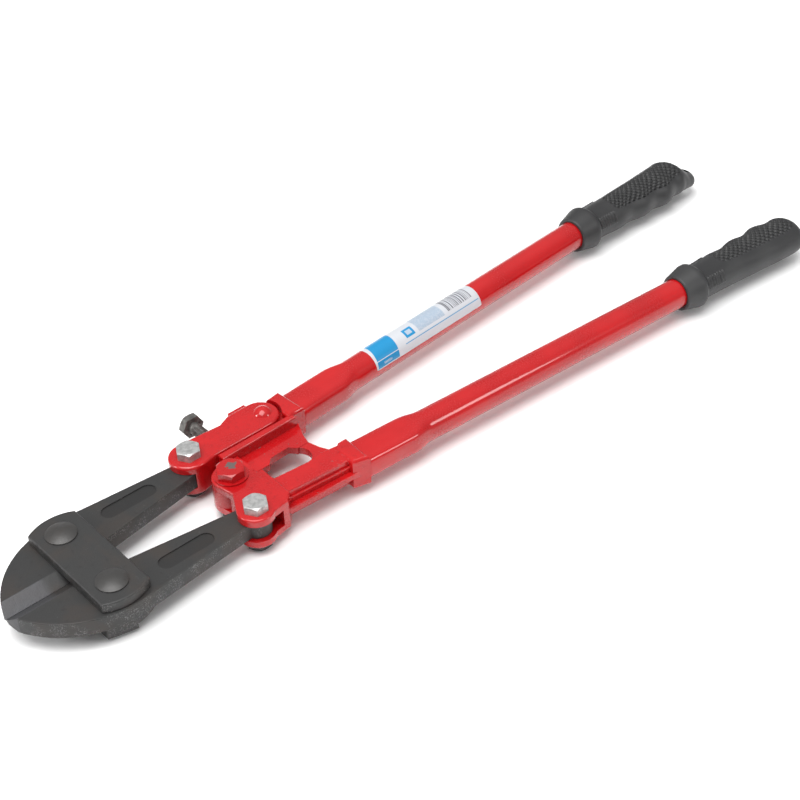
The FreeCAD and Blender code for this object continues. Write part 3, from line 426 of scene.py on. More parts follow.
@dataclass(frozen=True)
class RedEnamel:
    """Glossy red stoving enamel, lumpy over castings and smooth over tube."""

    name: str
    colour: tuple = tint(180, 17, 21)
    # Deep red for the random tone of the paint and for the painted shade between the lumps.
    deep_tone_and_shade: tuple = tint(112, 3, 9)
    bare: tuple = tint(96, 84, 82)
    lump: float = 0.0
    lump_grain: float = 5.0
    peel: float = 0.012
    mottle: float = 0.25
    chips: float = 0.0
    roughness: float = 0.26
    worn_spot: tuple | None = None

    def make(self) -> bpy.types.Material:
        """The material: painted shade darkens the low spots between the lumps and chips show grey."""
        sheet = ShaderSheet(self.name)
        clouds = sheet.noise(30, 2)
        lumps = sheet.noise(self.lump_grain, 3)
        fine = sheet.noise(1.1, 2)
        colour = sheet.mix(clouds.rise(0.3, 0.8) * 0.30, self.colour, self.deep_tone_and_shade)
        colour = sheet.mix(fine.rise(0.62, 0.78) * self.mottle, colour, self.deep_tone_and_shade)
        # Painted shade: the low spots of the lump bump are darkened.
        colour = sheet.mix(lumps.rise(0.46, 0.28) * self.lump * 0.4, colour, self.deep_tone_and_shade)
        rough = self.roughness + (clouds - 0.5) * 0.12 + (fine - 0.5) * 0.08
        coat = 0.8
        if self.chips:
            chip = sheet.noise(1.6, 3).rise(0.66, 0.70)
            chip = chip * sheet.noise(14, 2).rise(0.66 - self.chips, 0.74 - self.chips)
            colour = sheet.mix(chip, colour, self.bare)
            rough = rough + chip * 0.3
            coat = 0.8 - chip * 0.8
        if self.worn_spot:
            place = sheet.place()
            reach = sheet.node("ShaderNodeVectorMath", {"operation": "DISTANCE"},
                               {0: place, 1: self.worn_spot[:3]})
            near = Wire(sheet, reach.outputs["Value"]) / MM + (sheet.noise(2.2, 4) - 0.5) * 7.0
            bare = near.rise(self.worn_spot[3] + 0.2, self.worn_spot[3] - 0.2)
            colour = sheet.mix(bare, colour, self.bare)
            rough = rough + bare * 0.25
            coat = coat - bare * 0.8
        normal = sheet.bump(fine, self.peel)
        if self.lump:
            normal = sheet.bump(lumps, self.lump, normal)
        return sheet.finish(Base_Color=colour, Roughness=rough, Normal=normal, Coat_Weight=coat,
                            Coat_Roughness=0.06, Specular_IOR_Level=0.15)


@dataclass(frozen=True)
class ZincPlate:
    """Dull hot-dipped zinc, mottled in cells and grimy in its hollows."""

    name: str
    colour: tuple = tint(198, 198, 197)
    dark: tuple = tint(148, 148, 147)
    roughness: float = 0.40

    def make(self) -> bpy.types.Material:
        """The material: cells give the spangle, noise the grime."""
        sheet = ShaderSheet(self.name)
        spangle = sheet.node("ShaderNodeSeparateColor", None, {"Color": sheet.cells(2.4)})
        flake = Wire(sheet, spangle.outputs["Red"])
        grime = sheet.noise(2.6, 4)
        grit = sheet.noise(0.5, 2)
        tone = (flake * 0.35 + grime.rise(0.35, 0.70) * 0.6).least(1.0)
        colour = sheet.mix(tone, self.colour, self.dark)
        colour = sheet.mix(grit.rise(0.66, 0.76) * 0.4, colour, tint(96, 94, 90))
        rough = self.roughness + (grime - 0.5) * 0.3 + flake * 0.1
        normal = sheet.bump(grime, 0.05)
        normal = sheet.bump(grit, 0.02, normal)
        return sheet.finish(Base_Color=colour, Roughness=rough, Normal=normal, Metallic=0.7)


@dataclass(frozen=True)
class MouldedVinyl:
    """Dark grey satin PVC with a fine grain and a faint bloom of dust."""

    name: str
    colour: tuple = tint(43, 43, 44)
    # Pale grey for the dust bloom and for the painted highlight on the ribs.
    bloom_and_rib_highlight: tuple = tint(60, 60, 60)
    # Painted shade for the moulded pits.
    painted_pit_shade: tuple = tint(12, 12, 13)
    roughness: float = 0.46

    def make(self) -> bpy.types.Material:
        """The material: dust bloom gathers in patches, painted shade darkens the moulded pits and a painted
        highlight pales the ribs.
        """
        sheet = ShaderSheet(self.name)
        relief = Wire(sheet, sheet.node("ShaderNodeAttribute", {"attribute_name": "relief"}).outputs["Fac"])
        patches = sheet.noise(28, 3)
        grain = sheet.noise(0.45, 2)
        scuffs = sheet.noise(1.8, 4, distortion=0.5)
        colour = sheet.mix(patches.rise(0.35, 0.75) * 0.45, self.colour, self.bloom_and_rib_highlight)
        colour = sheet.mix(scuffs.rise(0.66, 0.76) * 0.25, colour, self.bloom_and_rib_highlight)
        # Painted shade: the moulded pits are darkened by their depth.
        colour = sheet.mix(relief.rise(-0.15, -0.55) * 0.85, colour, self.painted_pit_shade)
        # Painted highlight: the raised ribs are paled.
        colour = sheet.mix(relief.rise(0.1, 0.35) * 0.35, colour, self.bloom_and_rib_highlight)
        rough = self.roughness + (patches - 0.5) * 0.16 + (grain - 0.5) * 0.14
        normal = sheet.bump(grain, 0.02)
        normal = sheet.bump(scuffs, 0.02, normal)
        return sheet.finish(Base_Color=colour, Roughness=rough, Normal=normal, Specular_IOR_Level=0.45)


@dataclass(frozen=True)
class LabelPrint:
    """Printed film: a blue block at the head end, small grey blocks and a bar pattern.

    Places are shares of the label: along it from the head end, and across it from the
    edge that lies lowest in front to the edge behind.
    """

    name: str
    film: tuple = tint(194, 197, 202)
    blue: tuple = tint(0, 130, 182)
    pale_blue: tuple = tint(140, 160, 180)
    ink: tuple = tint(88, 88, 96)

    def make(self) -> bpy.types.Material:
        """The material, read from the label's own UV map."""
        sheet = ShaderSheet(self.name)
        spot = sheet.node("ShaderNodeUVMap", {"uv_map": "print"}).outputs["UV"]
        u, v, _ = sheet.axes(spot)
        smudge = sheet.noise(9, 3)
        colour = sheet.mix(smudge * 0.3, self.film, tint(178, 181, 187))
        block = (u - v * 0.03).within(0.012, 0.205, 0.002) * v.within(0.03, 0.97, 0.004)
        stripe = v.within(0.200, 0.214, 0.004)
        colour = sheet.mix(block * (1.0 - stripe), colour, self.blue)
        dashes = (u * 90.0).part().rise(0.35, 0.5)
        dashes = dashes * u.within(0.07, 0.14, 0.002) * v.within(0.08, 0.13, 0.006)
        colour = sheet.mix(dashes * 0.8, colour, self.film)
        badge = u.within(0.315, 0.395, 0.002) * v.within(0.32, 0.56, 0.006)
        pane = u.within(0.333, 0.377, 0.002) * v.within(0.38, 0.50, 0.006)
        colour = sheet.mix(badge * (1.0 - pane * 0.7), colour, self.blue)
        panel = u.within(0.43, 0.675, 0.003) * v.within(0.31, 0.78, 0.006)
        rows = (v * 34.0).part().rise(0.3, 0.6) * sheet.noise(1.6, 1).rise(0.42, 0.5)
        colour = sheet.mix(panel * (0.55 + rows * 0.35), colour, self.pale_blue)
        widths = sheet.node("ShaderNodeTexNoise", {"noise_dimensions": "1D"},
                            {"W": u * 1.0, "Scale": 95.0, "Detail": 0.0})
        bars = Wire(sheet, widths.outputs["Fac"]).rise(0.485, 0.505)
        code = u.within(0.715, 0.945, 0.001) * v.within(0.34, 0.88, 0.006)
        colour = sheet.mix(bars * code * 0.9, colour, self.ink)
        rule = v.within(0.205, 0.222, 0.006) * u.within(0.285, 0.985, 0.002)
        colour = sheet.mix(rule * 0.85, colour, self.blue)
        normal = sheet.bump(sheet.noise(6, 2), 0.03)
        rough = 0.34 + (smudge - 0.5) * 0.15
        return sheet.finish(Base_Color=colour, Roughness=rough, Normal=normal, Coat_Weight=0.3,
                            Coat_Roughness=0.15)


# ---------------------------------------------------------------- meshes


def eased(at: np.ndarray, knots: np.ndarray, values: np.ndarray) -> np.ndarray:
    """Carry values smoothly through knots.

    Each stretch is the cubic that meets both ends, with a slope at each knot that is the
    mean of the chords on either side.

    Args:
        at: where the values are wanted.
        knots: where they are given, rising.
        values: what they are there.

    Returns:
        The value at each place.
    """
    slopes = np.gradient(values, knots)
    cell = np.clip(np.searchsorted(knots, at, side="right") - 1, 0, len(knots) - 2)
    gap = knots[cell + 1] - knots[cell]
    t = np.clip((at - knots[cell]) / gap, 0.0, 1.0)
    start = (1 + 2 * t) * (1 - t) ** 2 * values[cell] + t * (1 - t) ** 2 * gap * slopes[cell]
    end = t ** 2 * (3 - 2 * t) * values[cell + 1] + t ** 2 * (t - 1) * gap * slopes[cell + 1]
    return start + end


def ease(value: np.ndarray, low: float, high: float) -> np.ndarray:
    """Rise from 0 at low to 1 at high along the smooth step 3t2 - 2t3."""
    t = np.clip((value - low) / (high - low), 0.0, 1.0)
    return t * t * (3 - 2 * t)


def grid_quads(rows: int, columns: int, closed: bool = True) -> np.ndarray:
    """Faces of a grid of points, numbered row by row.

    Args:
        rows: how many rows of points.
        columns: how many points in each.
        closed: True if the last column joins the first.

    Returns:
        Four point numbers for each face.
    """
    row = np.arange(rows - 1)[:, None] * columns
    column = np.arange(columns if closed else columns - 1)[None, :]
    after = (column + 1) % columns
    quads = np.stack([row + column, row + after, row + columns + after, row + columns + column], axis=-1)
    return quads.reshape(-1, 4)


def build_piece(name: str, points: np.ndarray, faces: list, material: bpy.types.Material,
                sharp: float = 40.0) -> bpy.types.Object:
    """Make an object from points and faces.

    Args:
        name: the piece's name.
        points: its points in metres, one row each.
        faces: its faces as lists of point numbers, seen anticlockwise from outside.
        material: its material.
        sharp: the angle in degrees above which an edge stays sharp.

    Returns:
        The object, at the origin.
    """
    mesh = bpy.data.meshes.new(name)
    mesh.from_pydata(points.tolist(), [], faces)
    mesh.polygons.foreach_set("use_smooth", np.ones(len(mesh.polygons), dtype=bool))
    mesh.update()
    mesh.set_sharp_from_angle(angle=math.radians(sharp))
    mesh.materials.append(material)
    piece = bpy.data.objects.new(name, mesh)
    bpy.context.scene.collection.objects.link(piece)
    return piece


def settle(piece: bpy.types.Object, body: str, slot: Slot, *nodes: str) -> bpy.types.Object:
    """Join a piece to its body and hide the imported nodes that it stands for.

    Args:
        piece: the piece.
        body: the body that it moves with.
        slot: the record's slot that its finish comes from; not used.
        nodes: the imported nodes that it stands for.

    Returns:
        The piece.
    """
    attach(piece, body)
    if nodes:
        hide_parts(*nodes)
    count = sum(len(p.vertices) - 2 for p in piece.data.polygons)
    LOG.info("%s: %d triangles on body %s", piece.name, count, body)
    return piece


@dataclass(frozen=True)
class HandleFrame:
    """Directions and origin of one handle: its origin is the centre of the tube's near end."""

    side: Side
    splay: float = 3.75
    press_half_wide: float = 12.3

    def axes(self) -> tuple[np.ndarray, np.ndarray, np.ndarray, np.ndarray]:
        """Origin, direction along the handle, level direction across it, and up."""
        turn = math.radians(self.splay)
        low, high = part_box(f"handle_tube_{self.side.letter}")
        sign = self.side.value
        near_y = low.y if self.side is Side.B else high.y
        origin = np.array([
            low.x + self.press_half_wide * MM * math.sin(turn),
            near_y + sign * self.press_half_wide * MM * math.cos(turn),
            (low.z + high.z) / 2,
        ])
        along = np.array([math.cos(turn), sign * math.sin(turn), 0.0])
        across = np.array([-sign * math.sin(turn), math.cos(turn), 0.0])
        return origin, along, across, np.array([0.0, 0.0, 1.0])

    def points(self, along: np.ndarray, across: np.ndarray, up: np.ndarray) -> np.ndarray:
        """Turn distances in the handle's frame into points.

        Args:
            along: millimetres along the handle.
            across: millimetres across it, towards +Y.
            up: millimetres above its axis.

        Returns:
            Points in metres, one row each.
        """
        origin, e_along, e_across, e_up = self.axes()
        spread = [a.reshape(-1, 1) * MM * e for a, e in ((along, e_along), (across, e_across), (up, e_up))]
        return origin + spread[0] + spread[1] + spread[2]


# ---------------------------------------------------------------- handles


@dataclass
class PressedTube:
    """A handle tube, pressed to a flat-sided section over the casting's tang."""

    side: Side
    radius: float = 10.5
    wall: float = 1.6
    length: float = 385.0
    press_length: float = 36.0
    press_run: float = 15.0
    half_wide: float = 12.2
    half_high: float = 9.2
    squareness: float = 3.4
    dent: float = 0.30
    dent_turn: float = 0.5
    # each dent: distance along, angle round the axis in radians, and spread along
    dents: tuple = ((7.0, 1.25, 5.0), (20.0, 1.9, 6.0), (33.0, 1.4, 5.0), (12.0, -0.5, 6.0),
                    (26.0, 3.5, 6.0), (30.0, -0.4, 5.0))
    columns: int = 96

    def section(self, along: np.ndarray, angle: np.ndarray) -> tuple[np.ndarray, np.ndarray]:
        """The tube's outside.

        The section is the closed curve |x/w|^n + |y/h|^n = 1. Near the casting n is high
        and w exceeds h; both ease to a circle with n = 2. The shallow dents where the
        press gripped are taken off as bell-shaped hollows in the length and the angle.

        Args:
            along: distance from the near end in millimetres.
            angle: angle round the axis from the level direction across.

        Returns:
            Distances across and up, in millimetres.
        """
        pressed = 1.0 - ease(along, self.press_length, self.press_length + self.press_run)
        power = 2.0 + (self.squareness - 2.0) * pressed
        wide = self.radius + (self.half_wide - self.radius) * pressed
        high = self.radius + (self.half_high - self.radius) * pressed
        cosine, sine = np.cos(angle), np.sin(angle)
        reach = (np.abs(cosine / wide) ** power + np.abs(sine / high) ** power) ** (-1.0 / power)
        for centre, turn, spread in self.dents:
            swing = np.angle(np.exp(1j * (angle - turn)))
            bell = np.exp(-((along - centre) / spread) ** 2 - (swing / self.dent_turn) ** 2)
            reach = reach - self.dent * bell
        return reach * cosine, reach * sine

    def build(self, finish: bpy.types.Material) -> bpy.types.Object:
        """Make the tube: outside, near rim, and the inside as far as the tang hides it.

        Args:
            finish: the tube's material.

        Returns:
            The piece.
        """
        body = np.concatenate([np.linspace(1.5, 64.0, 60), np.linspace(72.0, self.length, 24)])
        stations = np.concatenate([np.array([3.0, 0.6, 0.0, 0.15, 0.5]), body])
        inset = np.concatenate([np.array([self.wall, self.wall, 0.6, 0.15, 0.0]), np.zeros(len(body))])
        angles = np.linspace(0, 2 * np.pi, self.columns, endpoint=False)
        along, angle = np.meshgrid(stations, angles, indexing="ij")
        across, up = self.section(along, angle)
        reach = np.hypot(across, up)
        shrink = 1.0 - inset[:, None] / reach
        points = HandleFrame(self.side).points(along, across * shrink, up * shrink)
        faces = grid_quads(len(stations), self.columns).tolist()
        rows = len(stations)
        faces.append([(rows - 1) * self.columns + c for c in range(self.columns)])
        faces.append(list(range(self.columns))[::-1])
        piece = build_piece(f"tube_{self.side.letter}", points, faces, finish, 50.0)
        return settle(piece, f"handle_{self.side.letter}", Slot.RED_TUBE, f"handle_tube_{self.side.letter}")


@dataclass
class MouldedGrip:
    """A vinyl grip: flared collar, finger bumps on the inner side, a pitted patch on top."""

    side: Side = Side.A
    mouth_at: float = 274.0
    # from the mouth: distance, half width, half height, how far inwards and down
    stations: tuple = (
        (0.0, 12.6, 12.5, 0.0, 0.0),
        (16.0, 12.7, 12.6, 0.0, 0.0),
        (30.0, 13.1, 12.7, 0.4, 0.2),
        (43.0, 14.0, 12.8, 1.2, 0.4),
        (55.0, 13.7, 12.9, 0.9, 0.5),
        (69.0, 15.8, 13.0, 2.2, 0.8),
        (80.5, 15.2, 13.0, 1.6, 0.9),
        (93.0, 17.3, 13.1, 2.9, 1.0),
        (105.0, 15.8, 13.0, 1.5, 1.0),
        (112.5, 16.4, 12.9, 2.0, 1.0),
    )
    ending: tuple = ((122.0, 16.2, 12.8, 1.9, 1.0),)
    end_at: float = 122.0
    cap_from: float = 107.0
    cap_power: float = 3.0
    cap_run: float = 7.0
    # how far round the last rows of the cap go, as a share of a quarter turn
    cap_share: float = 0.97
    net_radius: float = 14.5
    rib_radius: float = 13.0
    collar: tuple = ((0.0, 12.2), (0.7, 12.9), (12.2, 15.7), (13.6, 16.0), (15.2, 16.0), (16.4, 15.4),
                     (19.6, 12.9), (22.0, 12.6))
    tube_radius: float = 10.55
    patch_from: float = 39.0
    patch_to: float = 116.0
    patch_half: float = 10.6
    patch_inward: float = 2.3
    pit_length: float = 4.7
    pit_width: float = 4.2
    pit_depth: float = 1.0
    rib_first: float = 21.0
    rib_pitch: float = 2.4
    rib_count: int = 7
    rib_height: float = 0.9
    rib_angles: tuple = (25.0, 155.0)
    columns: int = 168

    def relief(self, along: np.ndarray, angle: np.ndarray) -> np.ndarray:
        """Height of the moulded pattern over the plain surface.

        Two families of slanting lines cross in a diamond net. A point's distance from
        each family runs from 1 on a line to 0 half way to the next; where both are small
        the surface sinks, so every cell is a pit with sloping walls. The net fades out at
        the edge of a round-ended patch on top. Ribs are short rounded ridges that bow
        along the grip on each flank.

        Args:
            along: distance from the mouth in millimetres.
            angle: angle round the axis from the level direction across.

        Returns:
            Height in millimetres; pits are below 0.
        """
        arc = (angle - np.pi / 2) * self.net_radius
        net = np.stack([along / self.pit_length + arc / self.pit_width,
                        along / self.pit_length - arc / self.pit_width])
        nearest = np.max(2.0 * np.abs(net - np.floor(net) - 0.5), axis=0)
        well = 1.0 - ease(nearest, 0.40, 0.86)
        middle = (self.patch_from + self.patch_to) / 2
        half = (self.patch_to - self.patch_from) / 2
        sideways = np.abs(arc - self.side.value * self.patch_inward) / self.patch_half
        lengthways = np.abs(along - middle) / half
        patch = 1.0 - ease(sideways ** 4 + lengthways ** 8, 0.80, 1.05)
        height = -self.pit_depth * well * patch
        for flank in np.radians(self.rib_angles):
            swing = angle - flank
            span = 1.0 - ease(np.abs(swing) * self.rib_radius, 3.8, 5.4)
            bow = 1.2 * (1 - np.cos(swing * 1.8))
            for number in range(self.rib_count):
                offset = np.abs(along - bow - self.rib_first - number * self.rib_pitch)
                height = height + self.rib_height * (1.0 - ease(offset, 0.25, 0.8)) * span
        return height

    def shape(self, along: np.ndarray, angle: np.ndarray,
              relief: np.ndarray) -> tuple[np.ndarray, np.ndarray]:
        """The grip's outside.

        The section is an ellipse whose half axes and centre are carried smoothly through
        the stations. Over the collar it gives way to a circle about the tube. Towards the
        end it shrinks as the nth root of 1 - t^n, which rounds the end off.

        Args:
            along: distance from the mouth in millimetres.
            angle: angle round the axis from the level direction across.
            relief: height of the moulded pattern there.

        Returns:
            Distances across and up, in millimetres.
        """
        table = np.array(self.stations + self.ending)
        wide, high, inward, down = (eased(along, table[:, 0], table[:, n]) for n in range(1, 5))
        t = np.clip((along - self.cap_from) / (self.end_at - self.cap_from), 0.0, 1.0)
        close = np.maximum(1.0 - t ** self.cap_power, 0.0) ** (1 / self.cap_power)
        across = -self.side.value * inward + (wide * close + relief) * np.cos(angle)
        up = -down + (high * close + relief) * np.sin(angle)
        ring = np.interp(along, *np.array(self.collar).T)
        body = ease(along, 17.0, 22.0)
        across = across * body + ring * np.cos(angle) * (1 - body)
        up = up * body + ring * np.sin(angle) * (1 - body)
        return across, up

    def build(self, finish: bpy.types.Material) -> bpy.types.Object:
        """Make the grip, closed at its end and turned in over the tube at its mouth.

        Args:
            finish: the grip's material.

        Returns:
            The piece.
        """
        lip = np.array([4.0, 0.3, 0.0])
        bend = self.end_at - self.cap_run
        cap = bend + self.cap_run * np.sin(np.linspace(0, self.cap_share * np.pi / 2, 16))
        stations = np.concatenate([np.linspace(0.15, 24.0, 44), np.linspace(24.6, bend - 0.6, 165), cap])
        angles = np.linspace(0, 2 * np.pi, self.columns, endpoint=False)
        along, angle = np.meshgrid(stations, angles, indexing="ij")
        relief = self.relief(along, angle)
        across, up = self.shape(along, angle, relief)
        inner = np.repeat(self.tube_radius + np.array([[0.0], [0.0], [0.5]]), self.columns, axis=1)
        along = np.concatenate([np.repeat(lip[:, None], self.columns, axis=1), along])
        across = np.concatenate([inner * np.cos(angles), across])
        up = np.concatenate([inner * np.sin(angles), up])
        points = HandleFrame(self.side).points(along + self.mouth_at, across, up)
        rows = len(along)
        faces = grid_quads(rows, self.columns).tolist()
        faces.append([(rows - 1) * self.columns + c for c in range(self.columns)])
        faces.append(list(range(self.columns))[::-1])
        piece = build_piece(f"moulded_grip_{self.side.letter}", points, faces, finish, 60.0)
        pattern = np.concatenate([np.zeros_like(inner), relief])
        layer = piece.data.attributes.new("relief", "FLOAT", "POINT")
        layer.data.foreach_set("value", pattern.astype(np.float32).ravel())
        self.open_up(piece)
        return settle(piece, f"handle_{self.side.letter}", Slot.GRIP_VINYL, f"grip_{self.side.letter}")

    def open_up(self, piece: bpy.types.Object) -> None:
        """A plain grip has no hole."""


@dataclass
class HoledGrip(MouldedGrip):
    """The grip of handle B, whose tail narrows, drops and has a hang hole."""

    side: Side = Side.B
    mouth_at: float = 276.3
    ending: tuple = (
        (116.0, 15.0, 12.2, 2.6, 1.4),
        (119.5, 13.8, 10.6, 3.6, 2.6),
        (122.0, 12.6, 8.9, 4.6, 3.6),
        (127.2, 10.8, 7.3, 6.2, 5.4),
        (131.5, 9.8, 6.8, 6.8, 5.8),
        (134.2, 9.2, 6.4, 7.0, 6.0),
    )
    end_at: float = 134.2
    cap_from: float = 124.5
    cap_power: float = 2.3
    hole_radius: float = 3.7
    hole_at: float = 127.2
    hole_inward: float = 7.0

    def open_up(self, piece: bpy.types.Object) -> None:
        """Cut the hang hole through the tail.

        Args:
            piece: the grip.
        """
        count = 48
        angles = np.linspace(0, 2 * np.pi, count, endpoint=False)
        height, angle = np.meshgrid(np.array([-22.0, 22.0]), angles, indexing="ij")
        across = -self.side.value * self.hole_inward + self.hole_radius * np.sin(angle)
        along = self.mouth_at + self.hole_at + self.hole_radius * np.cos(angle)
        points = HandleFrame(self.side).points(along, across, height)
        faces = grid_quads(2, count).tolist() + [list(range(count))[::-1], list(range(count, 2 * count))]
        tool = build_piece("hang_hole_tool", points, faces, piece.data.materials[0])
        cutter = piece.modifiers.new("hang_hole", "BOOLEAN")
        cutter.object = tool
        cutter.operation = "DIFFERENCE"
        cutter.solver = "EXACT"
        bpy.context.view_layer.update()
        graph = bpy.context.evaluated_depsgraph_get()
        mesh = bpy.data.meshes.new_from_object(piece.evaluated_get(graph))
        piece.modifiers.clear()
        piece.data = mesh
        mesh.set_sharp_from_angle(angle=math.radians(50))
        bpy.data.objects.remove(tool)


@dataclass
class PrintedLabel:
    """A film label wrapped on tube B, a little proud of the paint."""

    start: float = 66.5
    length: float = 101.0
    radius: float = 10.5
    thick: float = 0.14
    rear_angle: float = 28.0
    wrap: float = 150.0
    # how much the film thins at its very edges
    edge_drop: float = 0.10

    def build(self, finish: bpy.types.Material) -> bpy.types.Object:
        """Make the label: a part of a cylinder with its print laid out on a UV map.

        Args:
            finish: the label's material.

        Returns:
            The piece.
        """
        rows, columns = 60, 48
        u, v = np.meshgrid(np.linspace(0, 1, rows), np.linspace(0, 1, columns), indexing="ij")
        edges = [ease(np.abs(share - 0.5), 0.492, 0.5) for share in (v, u)]
        reach = self.radius + self.thick - self.edge_drop * edges[0] - self.edge_drop * edges[1]
        angle = np.radians(self.rear_angle + self.wrap * (1.0 - v))
        along = self.start + self.length * u
        points = HandleFrame(Side.B).points(along, reach * np.cos(angle), reach * np.sin(angle))
        faces = grid_quads(rows, columns, closed=False)[:, ::-1].tolist()
        piece = build_piece("printed_label", points, faces, finish)
        layer = piece.data.uv_layers.new(name="print")
        corners = np.empty(len(piece.data.loops), dtype=np.int32)
        piece.data.loops.foreach_get("vertex_index", corners)
        flat = np.column_stack([u.ravel(), v.ravel()])[corners]
        layer.data.foreach_set("uv", flat.astype(np.float32).ravel())
        return settle(piece, "handle_b", Slot.LABEL_FILM, "tube_label")


# ---------------------------------------------------------------- screw


@dataclass
class AdjustingScrew:
    """The adjusting bolt: a chamfered hexagon head outside and a cut thread down to its point."""

    flats: float = 14.0
    head: float = 5.5
    diameter: float = 8.0
    pitch: float = 1.25
    thread_depth: float = 0.62
    facing: float = 0.962
    point_length: float = 1.0

    def thread(self, along: np.ndarray, angle: np.ndarray, length: float) -> np.ndarray:
        """Radius of the shank.

        The radius falls and rises as a triangle wave of the distance along plus one pitch
        for each turn round, which makes a helix; it fades in under the head and out at
        the chamfered point.

        Args:
            along: distance from the head in millimetres.
            angle: angle round the axis.
            length: length of the shank.

        Returns:
            The radius in millimetres.
        """
        phase = along / self.pitch + angle / (2 * np.pi)
        wave = np.abs(2.0 * (phase - np.floor(phase)) - 1.0)
        depth = self.thread_depth * ease(along, 1.5, 4.0)
        radius = self.diameter / 2 - depth * (1.0 - ease(wave, 0.12, 0.88))
        return np.minimum(radius, self.diameter / 2 - 0.9 * (along - length + self.point_length).clip(0))

    def build(self, finish: bpy.types.Material) -> bpy.types.Object:
        """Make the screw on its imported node's place.

        Args:
            finish: the screw's material.

        Returns:
            The piece.
        """
        low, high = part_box("adjusting_bolt")
        centre_x, centre_z = (low.x + high.x) / 2 / MM, (low.z + high.z) / 2 / MM
        seat = high.y / MM - self.head
        length = seat - low.y / MM
        columns = 96
        angles = np.linspace(0, 2 * np.pi, columns, endpoint=False)
        sixth = np.pi / 3
        corner = self.flats / 2 / np.cos((angles + sixth / 2) % sixth - sixth / 2)
        face = self.facing * self.flats / 2
        shoulder = self.head - np.maximum(corner - face, 0) * math.tan(math.radians(30))
        foot = np.maximum(corner - face, 0) * math.tan(math.radians(30)) * 0.5
        ones = np.ones(columns)
        rings = [(0.3 * ones, self.head * ones), (0.7 * face * ones, self.head * ones),
                 (face * ones, self.head * ones), (corner, shoulder), (corner, foot),
                 (face * ones, 0.0 * ones), (self.diameter / 2 * 1.02 * ones, 0.0 * ones)]
        steps = np.arange(0.05, length + 1e-6, self.pitch / 9)
        along, angle = np.meshgrid(steps, angles, indexing="ij")
        shank = self.thread(along, angle, length)
        reach = np.concatenate([np.stack([r for r, _ in rings]), shank, np.full((1, columns), 0.4)])
        height = np.concatenate([np.stack([h for _, h in rings]), -along, np.full((1, columns), -length)])
        turn = np.broadcast_to(angles, reach.shape)
        points = np.stack([centre_x + reach * np.sin(turn), seat + height, centre_z + reach * np.cos(turn)],
                          axis=-1).reshape(-1, 3) * MM
        rows = len(reach)
        faces = grid_quads(rows, columns)[:, ::-1].tolist()
        faces.append(list(range(columns)))
        faces.append([(rows - 1) * columns + c for c in range(columns)][::-1])
        piece = build_piece("adjusting_screw_threaded", points, faces, finish, 32.0)
        return settle(piece, "adjuster", Slot.ZINC_FASTENER, "adjusting_bolt")


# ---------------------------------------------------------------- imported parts


@dataclass
class PackedParts:
    """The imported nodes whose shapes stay, each given its finish."""

    def dress(self, material: bpy.types.Material, *nodes: str) -> None:
        """Give nodes a material.

        Args:
            material: the finish.
            nodes: the nodes' names.
        """
        for name in nodes:
            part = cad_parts[name]
            for slot in part.material_slots:
                slot.material = material
            LOG.info("%s: packed shape, finish %s", name, material.name)

    def build(self) -> None:
        """Dress the jaws, plates, castings and fasteners."""
        top_low, top_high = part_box("centre_bolt")
        middle = (top_low + top_high) / 2
        spot = (middle.x + 1.2 * MM, middle.y + 0.5 * MM, top_high.z, 3.2)
        self.dress(GroundForging("ground_jaw_b", side=Side.B).make(), "jaw_b")
        self.dress(GroundForging("ground_jaw_a", side=Side.A).make(), "jaw_a")
        self.dress(BlackForging("strap_steel").make(), "strap_plate_top", "strap_plate_bottom")
        self.dress(BlackForging("domed_bolt_steel", colour=tint(64, 63, 62), roughness=0.38,
                                scale_depth=0.05).make(), "jaw_pivot_bolts")
        self.dress(BlackForging("nut_steel", colour=tint(54, 54, 54)).make(),
                   "jaw_pivot_nuts", "tail_nut_a", "tail_nut_b", "centre_nut")
        self.dress(RedEnamel("cast_red", lump=0.5, lump_grain=3.2, chips=0.10).make(),
                   "handle_head_a", "handle_head_b", "toggle_link")
        self.dress(RedEnamel("rivet_red", lump=0.06, lump_grain=3.0).make(), "link_rivet")
        self.dress(RedEnamel("bolt_red", lump=0.14, lump_grain=2.6, worn_spot=spot).make(), "centre_bolt")
        self.dress(ZincPlate("bolt_zinc").make(), "tail_bolt_a", "tail_bolt_b")


# ---------------------------------------------------------------- studio


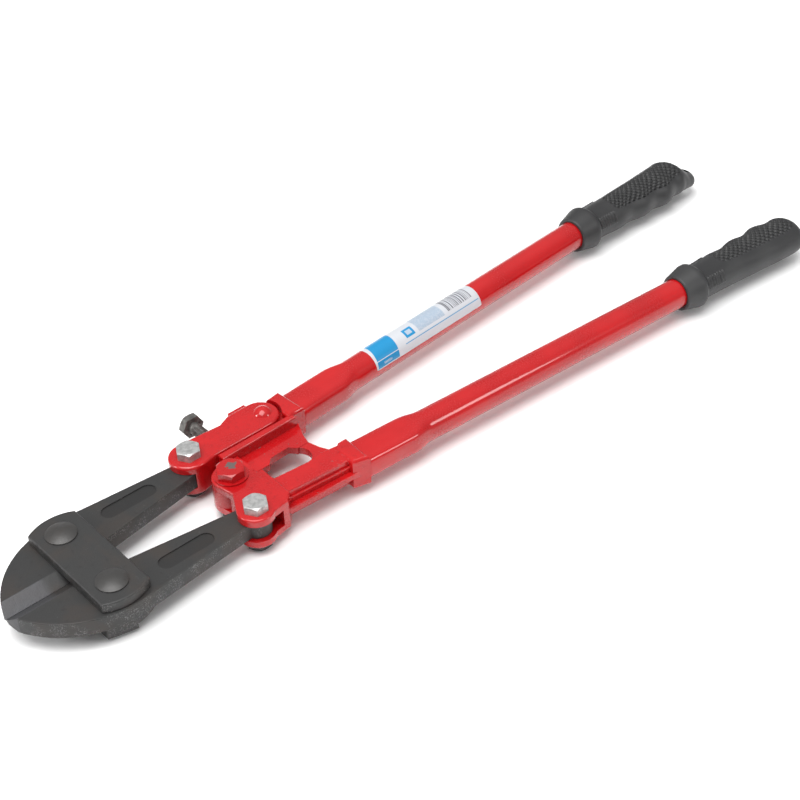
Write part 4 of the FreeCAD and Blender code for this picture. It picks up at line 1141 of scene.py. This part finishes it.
@dataclass
class Studio:
    """Floor, soft lights and the camera."""

    camera_at: tuple = (-0.5518, -0.6200, 0.6549)
    yaw: float = 49.82
    pitch: float = 38.39
    roll: float = -2.51
    lens: float = 72.1
    floor_tint: tuple = tint(250, 250, 250)

    def light(self, name: str, place: tuple, size: float, watts: float, target: tuple = (0, 0, 0)) -> None:
        """Add a soft square light.

        Args:
            name: the light's name.
            place: where it is, in metres.
            size: the length of its side in metres.
            watts: how strong it is.
            target: what it faces.
        """
        lamp = bpy.data.lights.new(name, "AREA")
        lamp.shape = "SQUARE"
        lamp.size = size
        lamp.energy = watts
        holder = bpy.data.objects.new(name, lamp)
        holder.location = place
        holder.rotation_euler = (Vector(target) - Vector(place)).to_track_quat("-Z", "Y").to_euler()
        bpy.context.scene.collection.objects.link(holder)

    def floor(self) -> None:
        """Lay a wide pale floor under the tool."""
        sheet = ShaderSheet("floor_paper")
        paper = sheet.finish(Base_Color=self.floor_tint, Roughness=0.9, Specular_IOR_Level=0.1)
        reach = 30.0
        corners = np.array([[-reach, -reach, 0], [reach, -reach, 0], [reach, reach, 0], [-reach, reach, 0]])
        build_piece("floor", corners - [0, 0, 0.0002], [[0, 1, 2, 3]], paper)

    def room(self) -> None:
        """Surround the tool with soft light, brightest overhead and dimmest low in the sky."""
        sheet = ShaderSheet("room", world=True)
        up = sheet.axes(sheet.node("ShaderNodeTexCoord").outputs["Generated"])[2]
        shades = [(0.0, (0.80,) * 3), (0.12, (0.50,) * 3), (0.3, (0.34,) * 3), (0.6, (0.52,) * 3),
                  (1.0, (0.95,) * 3)]
        ramp = sheet.node("ShaderNodeValToRGB", {"stops": shades}, {"Fac": up})
        glow = sheet.node("ShaderNodeBackground", None, {"Color": ramp.outputs["Color"], "Strength": 0.9})
        sheet.node("ShaderNodeOutputWorld", None, {"Surface": glow.outputs[0]})
        bpy.context.scene.world = sheet.material

    def camera(self) -> None:
        """Set the camera from its turn about the vertical, its tilt down and its roll."""
        yaw, pitch, roll = (math.radians(a) for a in (self.yaw, self.pitch, self.roll))
        ahead = Vector((math.cos(pitch) * math.cos(yaw), math.cos(pitch) * math.sin(yaw), -math.sin(pitch)))
        right = ahead.cross(Vector((0, 0, 1))).normalized()
        up = right.cross(ahead)
        level = right * math.cos(roll) + up * math.sin(roll)
        tall = up * math.cos(roll) - right * math.sin(roll)
        lens = bpy.data.cameras.new("camera")
        lens.lens = self.lens
        lens.sensor_width = 36.0
        lens.clip_start = 0.01
        holder = bpy.data.objects.new("camera", lens)
        turn = Matrix((level, tall, -ahead)).transposed().to_4x4()
        holder.matrix_world = Matrix.Translation(self.camera_at) @ turn
        bpy.context.scene.collection.objects.link(holder)
        bpy.context.scene.camera = holder

    def build(self) -> None:
        """Set up the studio."""
        self.floor()
        self.light("overhead", (-0.5, -0.1, 1.8), 1.5, 40)
        self.light("left", (-1.9, 0.9, 1.0), 0.5, 14)
        self.light("front", (0.9, -1.7, 1.1), 0.5, 7)
        self.room()
        bpy.context.scene.view_settings.view_transform = "Standard"
        self.camera()


def main() -> None:
    """Build the pieces in order and report each."""
    logging.basicConfig(level=logging.INFO, format="%(name)s %(message)s")
    Studio().build()
    PackedParts().build()
    tube_finish = RedEnamel("tube_red", lump=0.05, lump_grain=9.0, peel=0.004, mottle=0.06).make()
    grip_finish = MouldedVinyl("grip_vinyl").make()
    for side in Side:
        PressedTube(side).build(tube_finish)
    MouldedGrip().build(grip_finish)
    HoledGrip().build(grip_finish)
    PrintedLabel().build(LabelPrint("label_print").make())
    AdjustingScrew().build(ZincPlate("screw_zinc", colour=tint(120, 118, 115), dark=tint(76, 74, 72)).make())


if __name__ == "__main__":
    main()
